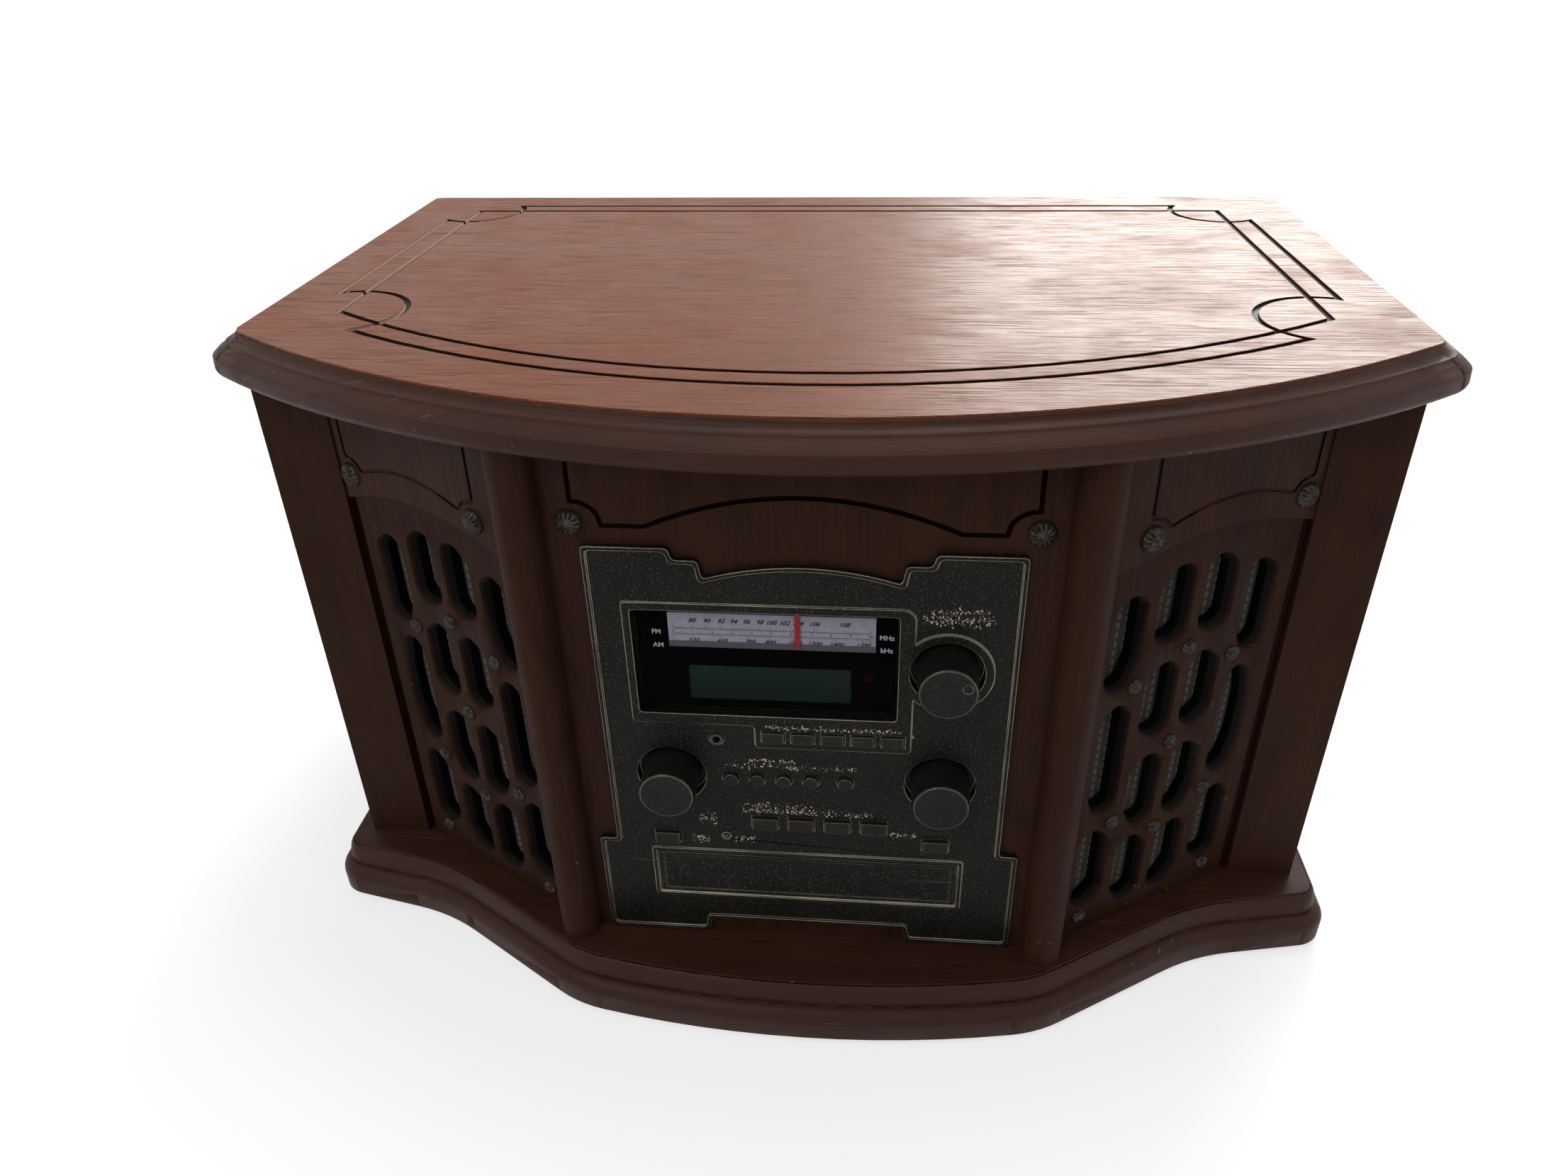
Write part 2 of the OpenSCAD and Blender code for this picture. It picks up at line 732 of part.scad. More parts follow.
// Flat frame under the lid's top panel; its opening is the hollow over the record deck
module lid_frame() {
  edge = path_points(lid_path, lid_start, -fit_gap);
  x = half_lid - lid_rim_w;
  wing = 75;
  color("#3b2014") difference() {
    translate([0, 0, body_top]) linear_extrude(total_h - lid_panel_t - body_top) difference() {
      polygon(edge);
      polygon([
        [-x, lid_rear_y - 15], [-x, lid_hollow_front + 42], [-x + wing, lid_hollow_front],
        [x - wing, lid_hollow_front], [x, lid_hollow_front + 42], [x, lid_rear_y - 15]
      ]);
    }
    lid_rear_corners();
    both_sides() {
      block([-hinge_x - leaf_w / 2 - 0.5, hinge_y - 3.2, body_top - 1],
        [-hinge_x + leaf_w / 2 + 0.5, rear_y + 1, body_top + 3.2]);
      block([-hinge_x - leaf_w / 2 - 0.5, leaf_front_y - 0.3, body_top - 1],
        [-hinge_x + leaf_w / 2 + 0.5, rear_y + 1, body_top + leaf_t + 0.1]);
    }
  }
}

// Lid's half of a hinge, and the bracket that the stay hangs from
module lid_fittings() {
  knuckle = leaf_w / 3;
  x_in = stay_x + stay_t / 2 + 0.3;
  color("#9a9486") {
    both_sides() translate([-hinge_x, 0, 0]) difference() {
      union() {
        block([-leaf_w / 2, leaf_front_y, body_top + 0.1],
          [leaf_w / 2, hinge_y - 0.5, body_top + leaf_t]);
        rod_x(hinge_y, hinge_z, -leaf_w / 2, leaf_w / 2, hinge_barrel_r);
      }
      block([-knuckle / 2 - 0.15, hinge_y - 3.2, hinge_z - 4], [knuckle / 2 + 0.15, rear_y, hinge_z + 4]);
      rod_x(hinge_y, hinge_z, -leaf_w, leaf_w, hinge_pin_r + pin_gap);
    }
    block([x_in, stay_top[0] - 8, stay_top[1] - 6], [x_in + 2, stay_top[0] + 8, total_h - lid_panel_t]);
    block([x_in, stay_top[0] - 8, total_h - lid_panel_t - 1.5],
      [half_lid - lid_rim_w - 0.3, stay_top[0] + 8, total_h - lid_panel_t]);
    rod_x(stay_top[0], stay_top[1], stay_x - stay_t / 2 - 1.8, x_in + 1, stay_pin_r);
    rod_x(stay_top[0], stay_top[1], stay_x - stay_t / 2 - 1.8, stay_x - stay_t / 2 - 0.3, 4);
  }
}

// Cabinet's half of each hinge with its pin, and the post that runs in the stay's slot
module cabinet_fittings() {
  knuckle = leaf_w / 3;
  x_in = stay_x + stay_t / 2 + 0.3;
  wall_x = half_body - side_t;
  color("#9a9486") {
    both_sides() translate([-hinge_x, 0, 0]) {
      difference() {
        union() {
          block([-leaf_w / 2, leaf_front_y, body_top - leaf_t],
            [leaf_w / 2, hinge_y - 0.5, body_top - 0.1]);
          rod_x(hinge_y, hinge_z, -knuckle / 2, knuckle / 2, hinge_barrel_r);
        }
        for (side = [-1, 1])
          translate([side * (leaf_w + 2 + knuckle) / 4, hinge_y, hinge_z])
            cube([(leaf_w + 2 - knuckle) / 2, 6.4, 8], center = true);
      }
      rod_x(hinge_y, hinge_z, -leaf_w / 2, leaf_w / 2, hinge_pin_r);
    }
    rod_x(stay_foot[0], stay_foot[1], wall_x - 2, wall_x, 8);
    rod_x(stay_foot[0], stay_foot[1], x_in, wall_x - 1, 4.5);
    rod_x(stay_foot[0], stay_foot[1], stay_x - stay_t / 2 - 0.3 + seam, x_in - seam, stay_pin_r);
    rod_x(stay_foot[0], stay_foot[1], stay_x - stay_t / 2 - 1.8, stay_x - stay_t / 2 - 0.3, 4.5);
  }
}

// Slotted arm that steadies the open lid: an eye, a stop and the two bars between them
module lid_stay_arm() {
  tilt = asin((stay_foot[0] - stay_top[0]) / stay_min);
  slot_r = stay_pin_r + pin_gap;
  eye_low = slot_r + 1 - stay_min;
  stop_high = -stay_max - slot_r - 1;
  color("#a8a294") translate([stay_x, stay_top[0], stay_top[1]]) rotate([tilt, 0, 0]) {
    difference() {
      union() {
        block([-stay_t / 2, -stay_w / 2, eye_low], [stay_t / 2, stay_w / 2, 0]);
        rod_x(0, 0, -stay_t / 2, stay_t / 2, stay_w / 2);
      }
      rod_x(0, 0, -stay_t, stay_t, stay_pin_r + pin_gap);
    }
    for (side = [-1, 1])
      block([-stay_t / 2, side * (stay_w / 2 + slot_r) / 2 - (stay_w / 2 - slot_r) / 2, stop_high + seam],
        [stay_t / 2, side * (stay_w / 2 + slot_r) / 2 + (stay_w / 2 - slot_r) / 2, eye_low - seam]);
    block([-stay_t / 2, -stay_w / 2, stop_high - 5], [stay_t / 2, stay_w / 2, stop_high]);
    rod_x(0, stop_high - 5, -stay_t / 2, stay_t / 2, stay_w / 2);
  }
}

// A polygon's points moved inwards by d; its points run clockwise
function unit(v) = v / norm(v);
function inset(pts, d) = let (n = len(pts)) [
  for (i = [0:n - 1])
    let (u = unit(pts[i] - pts[(i + n - 1) % n]), v = unit(pts[(i + 1) % n] - pts[i]),
         nu = [u[1], -u[0]], nv = [v[1], -v[0]])
      pts[i] + d * (nu + nv) / (1 + nu * nv)
];

// A polygon's points with each corner rounded by a short curve that starts r from it
function rounded(pts, r, m = 4) = let (n = len(pts)) [
  for (i = [0:n - 1])
    let (p = pts[i], a = p + r * unit(pts[(i + n - 1) % n] - p),
         b = p + r * unit(pts[(i + 1) % n] - p))
      for (k = [0:m]) let (t = k / m) (1 - t) * (1 - t) * a + 2 * t * (1 - t) * p + t * t * b
];

function mirrored(pts) = [for (i = [len(pts) - 1:-1:0]) [-pts[i][0], pts[i][1]]];

// Right half of the fascia's outline, clockwise from the top of its arch
fascia_half = let (
  x1 = fascia_w / 2, x2 = foot_w / 2, top = fascia_z + fascia_h, z = fascia_z,
  arch_x = 41, arch_z = top - 7.5, arch_drop = 6.5
) concat(
  [for (i = [0:5]) let (u = (i + 0.5) / 5.5) [arch_x * u, arch_z - arch_drop * u * u]],
  [[42.5, top - 5.5], [53, top - 5.5], [54.5, top], [x1, top], [x1, z + 60.5], [x2, z + 60.5],
   [x2, z], [49, z], [47.5, z + 9]]);
fascia_outline = concat(fascia_half, mirrored(fascia_half));

module flat_y(y0, y1) {
  translate([0, y1, 0]) rotate([90, 0, 0]) linear_extrude(y1 - y0) children();
}

module round_rect(x, z, w, h, r) {
  polygon(rounded([
    [x - w / 2, z + h / 2], [x + w / 2, z + h / 2], [x + w / 2, z - h / 2], [x - w / 2, z - h / 2]
  ], r));
}

// Places every rectangular cap's outline, grown by extra on each side
module cap_outlines(extra) {
  for (i = [0:4])
    translate([source_x + i * source_pitch, source_z])
      square(source_size + 2 * [extra, extra], center = true);
  for (i = [0:3])
    translate([edit_x + i * edit_pitch, edit_z])
      square(edit_size + 2 * [extra, extra], center = true);
  for (p = [power_at, open_at])
    translate(p) square(wide_size + 2 * [extra, extra], center = true);
}

module fascia() {
  step = 2.2;
  plateau = rounded([
    [-76.8, fascia_z + 195.5], [44, fascia_z + 195.5], [47.5, fascia_z + 192],
    [47.5, source_z - 6.5], [-22, source_z - 6.5], [-22, fascia_z + 132], [-76.8, fascia_z + 132]
  ], step);
  color("#2b2c29") difference() {
    union() {
      flat_y(fascia_y, board_y) polygon(rounded(fascia_outline, step));
      flat_y(fascia_y - rim_h, fascia_y) difference() {
        polygon(rounded(fascia_outline, step));
        polygon(rounded(inset(fascia_outline, 2), step));
      }
      flat_y(fascia_y - plateau_h, fascia_y) {
        polygon(plateau);
        translate([knob_x, tuning_z]) circle(r = well_r + 4);
      }
      flat_y(fascia_y - plateau_h, fascia_y) difference() {
        round_rect(0, door_z, door_w + 6, door_h + 6, 2);
        round_rect(0, door_z, door_w + 2, door_h + 2, 1);
      }
      for (p = [[knob_x, tuning_z], [-knob_x, low_knob_z], [knob_x, low_knob_z]])
        rod_y(p[0], p[1], board_y - 1, well_floor_y + 1.2, well_r + 1.2);
      for (x = [-76, 76], z = [fascia_z + 71, fascia_z + 195])
        rod_y(x, z, board_y - 1, pcb_y, 3);
    }
    flat_y(fascia_y - 3, board_y + 1) {
      round_rect(window_x, window_z, window_w, window_h, 2);
      square_hole = [door_w + 2 * running_gap, door_h + 2 * running_gap];
      translate([0, door_z]) square(square_hole, center = true);
      cap_outlines(0.25);
      for (x = transport_x) translate([x, transport_z]) circle(r = transport_d / 2 + 0.25);
      translate(jack_at) circle(r = jack_bore_r + 1.4);
      translate(lamp_at) circle(r = lamp_r);
      translate(stereo_at) circle(r = lamp_r);
    }
    for (p = [[knob_x, tuning_z], [-knob_x, low_knob_z], [knob_x, low_knob_z]]) {
      rod_y(p[0], p[1], fascia_y - 3, well_floor_y, well_r);
      rod_y(p[0], p[1], fascia_y - 3, well_floor_y + 3, shaft_r + 0.5);
    }
  }
}

module dial_window() {
  color("#0a0b0d") flat_y(fascia_y - 0.2, fascia_y + 1.8)
    round_rect(window_x, window_z, window_w - 2 * fit_gap, window_h - 2 * fit_gap, 2);
}

module dial_scale() {
  color("#d8d4e0") translate([scale_at[0], carrier_y - 0.5, scale_at[1]])
    cube([scale_w, 1, scale_h], center = true);
}

// Carrier behind the window with the display glass, and the pointer's guide rod
module display_panel() {
  lcd_w = 71;
  lcd_h = 17.8;
  rod_end = window_w / 2 - 4;
  color("#20302e") {
    flat_y(carrier_y, carrier_y + 1) translate([window_x, window_z])
      square([window_w - 2, window_h - 1], center = true);
    translate([window_x + 1.3, carrier_y - 0.4, window_z - 12.7])
      cube([lcd_w, 0.8, lcd_h], center = true);
    for (side = [-1, 1], z = [-1, 1])
      rod_y(window_x + side * 48, window_z + z * 20, carrier_y + 1, pcb_y, 2);
    for (side = [-1, 1])
      translate([window_x + side * rod_end - 1.5, carrier_y, window_z + window_h / 2 - 2])
        cube([3, rail_y - carrier_y + 2, 7]);
    rod_x(rail_y, rail_z, window_x - rod_end, window_x + rod_end, rail_r);
  }
}

// Red pointer with its slider on the guide rod
module dial_pointer() {
  half = 1.1;
  color("#b3191e") difference() {
    union() {
      block([pointer_x - half, carrier_y - 2.1, scale_at[1] - 7.5],
        [pointer_x + half, carrier_y - 1.3, rail_z - 1]);
      block([pointer_x - half, carrier_y - 2.1, rail_z - 2.4], [pointer_x + half, rail_y, rail_z - 1]);
      block([pointer_x - 4, rail_y - 2.4, rail_z - 2.4], [pointer_x + 4, rail_y + 2.4, rail_z + 2.4]);
    }
    rod_x(rail_y, rail_z, pointer_x - 5, pointer_x + 5, rail_r + pin_gap);
  }
}

// One push button: cap, retaining flange and the stem that works its switch
module push_button(x, z, size) {
  stem_end = pcb_y - switch_h - 0.3 - button_travel;
  translate([x, 0, z]) {
    flat_y(fascia_y - plateau_h - 1.2, board_y + 1) square(size, center = true);
    flat_y(board_y + 0.3, board_y + 1.3) square(size + [2, 2], center = true);
    flat_y(board_y + 1, stem_end) square([3, 3], center = true);
  }
}

module round_button(x, z) {
  stem_end = pcb_y - switch_h - 0.3 - button_travel;
  rod_y(x, z, fascia_y - 1.6, board_y + 1, transport_d / 2);
  rod_y(x, z, board_y + 0.3, board_y + 1.3, transport_d / 2 + 1);
  rod_y(x, z, board_y + 1, stem_end, 1.5);
}

module source_button(i) {
  color("#2f302c") push_button(source_x + (i - 1) * source_pitch, source_z, source_size);
}

module transport_button(i) {
  color("#2f302c") round_button(transport_x[i - 1], transport_z);
}

module edit_button(i) {
  color("#2f302c") push_button(edit_x + (i - 1) * edit_pitch, edit_z, edit_size);
}

module power_button() {
  color("#2f302c") push_button(power_at[0], power_at[1], wide_size);
}

module open_button() {
  color("#2f302c") push_button(open_at[0], open_at[1], wide_size);
}

// A control knob with its shaft; the profile is turned about the knob's axis
module knob(x, z) {
  face_y = fascia_y - knob_out;
  back_y = well_floor_y - 1;
  h = back_y - face_y;
  translate([x, back_y, z]) rotate([90, 0, 0]) rotate_extrude() polygon([
    [0, 0], [knob_r, 0], [knob_r, h * 0.35], [knob_r - 0.5, h - 1], [knob_r - 1.2, h],
    [knob_r - 2, h - 0.2], [0, h - 0.6]
  ]);
  rod_y(x, z, back_y - 1, pcb_y - 1, shaft_r);
}

module tuning_knob() {
  color("#2f302c") difference() {
    knob(knob_x, tuning_z);
    translate([knob_x + 7.9, fascia_y - knob_out - 2.2, tuning_z + 2.9]) sphere(r = 3.2);
  }
}

module volume_knob() {
  color("#2f302c") knob(-knob_x, low_knob_z);
}

module level_knob() {
  color("#2f302c") knob(knob_x, low_knob_z);
}

// Drawer's door, flush with the fascia
module cd_tray_front() {
  color("#2b2c29") difference() {
    flat_y(fascia_y - 0.5, fascia_y + 3) translate([0, fascia_z + 39.5])
      square([door_w, door_h], center = true);
    flat_y(fascia_y - 1, fascia_y) difference() {
      translate([0, door_z]) square([door_w - 4, door_h - 4], center = true);
      translate([0, door_z]) square([door_w - 5.4, door_h - 5.4], center = true);
    }
  }
}

module cd_tray() {
  disc_y = tray_y + 8 + disc_d / 2;
  color("#33353a") difference() {
    union() {
      block([-tray_w / 2, tray_y, tray_z], [tray_w / 2, tray_y + tray_l, tray_z + tray_h]);
      block([-tray_w / 2, tray_y, tray_z], [tray_w / 2, tray_y + tray_wall, door_z + door_h / 2 - 2]);
    }
    translate([0, disc_y, tray_z + tray_h - tray_depth]) cylinder(h = tray_h, d = disc_d);
    block([-16, disc_y - 14, tray_z - 1], [16, tray_y + tray_l - 6, tray_z + tray_h + 1]);
  }
}

// Loading mechanism: a channel with runners, a clamp bridge, and the disc motor and pickup
module cd_mechanism() {
  wall_x = tray_w / 2 + 4;
  y0 = board_y + board_t + 9;
  y1 = tray_y + tray_l + 12;
  floor_z = tray_z - 8;
  top_z = door_z + 15;
  hub_y = tray_y + 8 + disc_d / 2;
  color("#8b8d90") difference() {
    union() {
      block([-wall_x - 3, y0, floor_z], [wall_x + 3, y1, top_z]);
      for (x = [-wall_x + 3, wall_x - 3], y = [y0 + 8, y1 - 8])
        translate([x, y, base_h]) cylinder(h = floor_z - base_h + 0.5, r = 4);
    }
    block([-wall_x, y0 - 1, floor_z + 2], [wall_x, y1 - 3, top_z - 2]);
    block([-wall_x + 6, y0 - 1, top_z - 3], [wall_x - 6, hub_y - 22, top_z + 1]);
    block([-wall_x + 6, hub_y + 22, top_z - 3], [wall_x - 6, y1 - 10, top_z + 1]);
  }
  color("#3a3c40") {
    for (side = [-1, 1])
      translate([side * (wall_x - 4) - 4, y0, floor_z + 1.5])
        cube([8, y1 - y0 - 3, tray_z - running_gap - floor_z - 1.5]);
    translate([0, hub_y, floor_z + 1.5]) cylinder(h = 4.5, r = 15);
    translate([0, hub_y, top_z - 7]) cylinder(h = 5.5, r = 16);
    block([-14, hub_y + 20, floor_z + 1.5], [14, hub_y + 46, floor_z + 6]);
  }
}

// Half of the deck plate's outline, from the middle of the front round to the rear
function deck_half() = let (
  d = grille_t + cloth_t + 0.8, ca = cos(grille_angle), sa = sin(grille_angle),
  at = function (s) [grille_out[0] - s * ca - d * sa, grille_out[1] - s * sa + d * ca],
  wall = half_body - side_t - 0.5, tongue = half_body - post_w - groove_w - 1
) [
  [pilaster_x + 4, board_y + board_t + 0.5], [pilaster_x + 4, at(99)[1]], at(99), at(5),
  [tongue, post_y + side_t + 0.5], [wall, post_y + side_t + 0.5], [wall, rear_inner_y - 0.5]
];

module deck_plate() {
  half = deck_half();
  color("#1d1b1a") difference() {
    union() {
      translate([0, 0, deck_z - deck_t]) linear_extrude(deck_t)
        polygon(concat(half, mirrored(half)));
      translate([spindle_x, spindle_y, deck_z - 26]) cylinder(h = 24, r = 8);
    }
    translate([spindle_x, spindle_y, deck_z - 24])
      cylinder(h = 30, r = bearing_r + pin_gap);
    translate([pulley_x, pulley_y, deck_z - deck_t - 1]) cylinder(h = deck_t + 2, r = pulley_r + 1);
    translate([selector_x, selector_y, deck_z - deck_t - 1])
      cylinder(h = deck_t + 2, r = 2.5 + pin_gap);
    block([stay_x - 4, stay_foot[0] - 22, deck_z - deck_t - 1],
      [half_body, stay_foot[0] + 16, deck_z + 1]);
    block([stay_x - 4, post_y, deck_z - deck_t - 1], [stay_x - 4 + seam, rear_inner_y, deck_z + 1]);
  }
}

module platter() {
  color("#b9b9b6") translate([spindle_x, spindle_y, 0]) {
    difference() {
      translate([0, 0, deck_z + 1]) cylinder(h = platter_low + platter_t - deck_z - 1, r = platter_r);
      translate([0, 0, deck_z]) cylinder(h = platter_low - deck_z, r = platter_r - 3);
    }
    translate([0, 0, deck_z + 0.5]) difference() {
      cylinder(h = 3, r = belt_rim_r);
      translate([0, 0, -1]) cylinder(h = 3.5, r = belt_rim_r - 4);
    }
    translate([0, 0, deck_z + 0.5]) cylinder(h = 3, r = 9);
    translate([0, 0, deck_z - 22]) cylinder(h = 24, r = bearing_r);
    translate([0, 0, deck_z + 2]) cylinder(h = 17, r = 3.6);
    translate([0, 0, deck_z + 19]) cylinder(h = 1.5, r1 = 3.6, r2 = 2);
  }
}

module platter_mat() {
  color("#191919") translate([spindle_x, spindle_y, platter_low + platter_t]) difference() {
    cylinder(h = mat_t, r = platter_r - 4);
    translate([0, 0, -1]) cylinder(h = mat_t + 2, r = 6);
    for (r = [30:12:platter_r - 8])
      translate([0, 0, mat_t - 0.6]) difference() {
        cylinder(h = 2, r = r + 0.8);
        translate([0, 0, -1]) cylinder(h = 4, r = r - 0.8);
      }
  }
}

module belt_outline(extra) {
  hull() {
    translate([spindle_x, spindle_y]) circle(r = belt_rim_r + extra);
    translate([pulley_x, pulley_y]) circle(r = pulley_r + extra);
  }
}

module drive_belt() {
  color("#101010") translate([0, 0, deck_z + 0.8]) linear_extrude(1.7) difference() {
    belt_outline(running_gap + belt_t);
    belt_outline(running_gap);
  }
}

module turntable_motor() {
  color("#9a9a96") difference() {
    translate([pulley_x, pulley_y, deck_z - deck_t - 26]) cylinder(h = 26, r = 17);
    translate([pulley_x, pulley_y, deck_z - deck_t - 12]) cylinder(h = 13, r = 1.5 + pin_gap);
  }
}

module motor_pulley() {
  color("#c8a24a") translate([pulley_x, pulley_y, 0]) {
    translate([0, 0, deck_z + 0.4]) cylinder(h = 2.3, r = pulley_r);
    translate([0, 0, deck_z - deck_t - 11]) cylinder(h = deck_t + 12, r = 1.5);
  }
}

// Plate, bearing column, arm rest and the cueing bracket
module tonearm_base() {
  shaft_gap = 4 + pin_gap;
  rest_y = arm_y - arm_l * 0.7;
  color("#26262a") {
    difference() {
      union() {
        translate([arm_x, arm_y, deck_z]) cylinder(h = 4, r = 20);
        block([arm_x, arm_y - 10, deck_z], [cue_x + 8, arm_y + 10, deck_z + 4]);
        translate([arm_x, arm_y, deck_z]) cylinder(h = 12, r = 9);
        block([cue_x - 3, arm_y - 5, deck_z + 3], [cue_x + 3, arm_y + 5, cue_z + 5]);
      }
      translate([arm_x, arm_y, deck_z + 1.5]) cylinder(h = 12, r = shaft_gap);
      rod_x(arm_y, cue_z, cue_x - 4, cue_x + 4, 2 + pin_gap);
    }
    translate([arm_x, rest_y, deck_z]) cylinder(h = 3, r = 8);
    block([arm_x - 3, rest_y - 3, deck_z + 2], [arm_x + 3, rest_y + 3, arm_z - arm_r - 2]);
    block([arm_x - 7, rest_y - 4, arm_z - arm_r - 2.3],
      [arm_x + 7, rest_y + 4, arm_z - arm_r - 0.4]);
  }
}

// Vertical bearing with the yoke that carries the arm
module tonearm_pivot() {
  color("#b4b4b0") translate([arm_x, arm_y, 0]) {
    translate([0, 0, deck_z + 2]) cylinder(h = 12, r = 4);
    translate([0, 0, deck_z + 12.5]) cylinder(h = 3, r = yoke_w + 3);
    difference() {
      for (side = [-1, 1])
        translate([side * (yoke_w + 1.5) - 1.5, -4, deck_z + 15]) cube([3, 8, arm_z - deck_z - 9]);
      rod_x(0, arm_z, -yoke_w - 4, yoke_w + 4, 1.5 + pin_gap);
    }
  }
}

// Arm tube, cross pin, counterweight, headshell and cartridge
module tonearm() {
  head_y = arm_y - arm_l;
  color("#c4c4c0") {
    rod_y(arm_x, arm_z, head_y + 16, arm_y + 20, arm_r);
    rod_x(arm_y, arm_z, arm_x - yoke_w - 2.7, arm_x + yoke_w + 2.7, 1.5);
    rod_y(arm_x, arm_z, arm_y + 16, arm_y + 34, 11);
    difference() {
      block([arm_x - 8, head_y - 9, arm_z - 4], [arm_x + 8, head_y + 24, arm_z + 1]);
      block([arm_x - 5, head_y - 5, arm_z - 1.5], [arm_x + 5, head_y + 14, arm_z + 2]);
    }
    rod_x(head_y - 5, arm_z - 1, arm_x + 7, arm_x + 20, 1.2);
  }
  color("#a02020") {
    block([arm_x - 5, head_y - 5, deck_z + 15.5], [arm_x + 5, head_y + 12, arm_z - 3.8]);
    translate([arm_x, head_y, deck_z + 3 + platter_t + mat_t + record_t + 0.1])
      cylinder(h = 3.2, r1 = 0.4, r2 = 1.2);
  }
}

module cue_lever() {
  color("#b4b4b0") {
    rod_x(arm_y, cue_z, cue_x - 6, cue_x + 8, 2);
    block([cue_x + 4.5, arm_y - 30, cue_z - 1.5], [cue_x + 8, arm_y, cue_z + 1.5]);
    rod_x(arm_y - 30, cue_z, cue_x + 4.5, cue_x + 8, 3.5);
  }
}

module speed_selector() {
  color("#26262a") translate([selector_x, selector_y, 0]) {
    translate([0, 0, deck_z - deck_t - 4]) cylinder(h = deck_t + 6, r = 2.5);
    translate([0, 0, deck_z + 0.4]) cylinder(h = 4, r = 9);
    translate([-2, -17, deck_z + 1.4]) cube([4, 17, 5]);
  }
}

// Circuit board behind the fascia: a switch behind each button and a pot behind each knob
module control_board() {
  board_low = fascia_z + 57;
  board_high = fascia_z + 199.5;
  color("#1f4a2c") block([-80, pcb_y, board_low], [80, pcb_y + pcb_t, board_high]);
  buttons = concat(
    [for (i = [0:4]) [source_x + i * source_pitch, source_z]],
    [for (x = transport_x) [x, transport_z]],
    [for (i = [0:3]) [edit_x + i * edit_pitch, edit_z]], [power_at, open_at]);
  color("#303030") for (b = buttons)
    block([b[0] - 3, pcb_y - switch_h, b[1] - 3], [b[0] + 3, pcb_y, b[1] + 3]);
  color("#8f8f8c") for (p = [[knob_x, tuning_z], [-knob_x, low_knob_z], [knob_x, low_knob_z]])
    difference() {
      block([p[0] - 7, pcb_y - 5, p[1] - 7], [p[0] + 7, pcb_y, p[1] + 7]);
      rod_y(p[0], p[1], pcb_y - 6, pcb_y - 0.5, shaft_r + pin_gap);
    }
}

// Amplifier and tuner board on the cabinet's floor, with its heat sink and capacitors
module main_board() {
  x0 = 40;
  x1 = 200;
  y0 = rear_inner_y - 125;
  y1 = rear_inner_y - 25;
  z = base_h + 8;
  color("#1f4a2c") block([x0, y0, z], [x1, y1, z + pcb_t]);
  color("#8f8f8c") {
    for (x = [x0 + 6, x1 - 6], y = [y0 + 6, y1 - 6])
      translate([x, y, base_h]) cylinder(h = z - base_h, r = 3);
    for (i = [0:6]) block([x0 + 8 + 6 * i, y0 + 12, z + pcb_t], [x0 + 11 + 6 * i, y0 + 52, z + 32]);
    block([x0 + 8, y0 + 30, z + pcb_t], [x0 + 47, y0 + 34, z + 30]);
  }
  color("#24324a") for (i = [0:2])
    translate([x0 + 80 + 26 * i, y1 - 26, z + pcb_t]) cylinder(h = 30, r = 10);
}

module power_transformer() {
  x = -165;
  y = rear_inner_y - 62;
  color("#77746c") {
    block([x - 28, y - 24, base_h], [x + 28, y + 24, base_h + 4]);
    block([x - 24, y - 20, base_h + 4], [x + 24, y + 20, base_h + 44]);
  }
  color("#a8572c") block([x - 15, y - 29, base_h + 10], [x + 15, y + 29, base_h + 38]);
}

module electronics() {
  control_board();
  main_board();
  power_transformer();
}

// Headphone jack and lamps of the fascia, and the recessed socket plate of the rear
module sockets_and_lamps() {
  tray_back = rear_inner_y - 8;
  w = socket_w - 0.4;
  h = socket_h - 0.4;
  color("#1a1a1a") difference() {
    union() {
      rod_y(jack_at[0], jack_at[1], fascia_y - 0.6, board_y + 1, jack_bore_r + 1.2);
      block([jack_at[0] - 5, board_y + 0.3, jack_at[1] - 4.5],
        [jack_at[0] + 5, pcb_y, jack_at[1] + 4.5]);
    }
    rod_y(jack_at[0], jack_at[1], fascia_y - 1, pcb_y - 1.5, jack_bore_r);
  }
  color("#7a2a20") for (p = [lamp_at, stereo_at]) {
    rod_y(p[0], p[1], fascia_y, pcb_y, lamp_r - 0.2);
    translate([p[0], fascia_y, p[1]]) sphere(r = lamp_r - 0.2);
  }
  color("#202020") translate([socket_x, 0, socket_z]) difference() {
    block([-w / 2, tray_back, -h / 2], [w / 2, rear_face_y, h / 2]);
    block([-w / 2 + 2, tray_back + 2, 2 - h / 2], [w / 2 - 2, rear_face_y + 1, h / 2 - 2]);
  }
  color("#c9c3b0") for (i = [0:2], k = [0:1]) difference() {
    rod_y(socket_x - 24 + 14 * i, socket_z - 8 + 16 * k, tray_back + 1.5, rear_face_y - 1, 4.1);
    rod_y(socket_x - 24 + 14 * i, socket_z - 8 + 16 * k, tray_back + 4, rear_face_y, 1.7);
  }
  color("#202020") difference() {
    block([socket_x + 15, tray_back + 1.5, socket_z - 6], [socket_x + 31, rear_face_y - 2, socket_z + 6]);
    block([socket_x + 17, tray_back + 5, socket_z - 4], [socket_x + 29, rear_face_y, socket_z + 4]);
  }
}

// Pan-headed screws of the rear panel
module screws() {
  color("#55524c") for (x = [-225, -75, 75, 225], z = [base_h + 8, case_top - 20])
    translate([x, rear_face_y, z]) rotate([-90, 0, 0]) difference() {
      intersection() {
        translate([0, 0, -2.6]) sphere(r = 4.4);
        cylinder(h = 3, r = 3.4);
      }
      for (turn = [0, 90])
        rotate(turn) translate([-2.4, -0.4, 0.9]) cube([4.8, 0.8, 2]);
    }
}

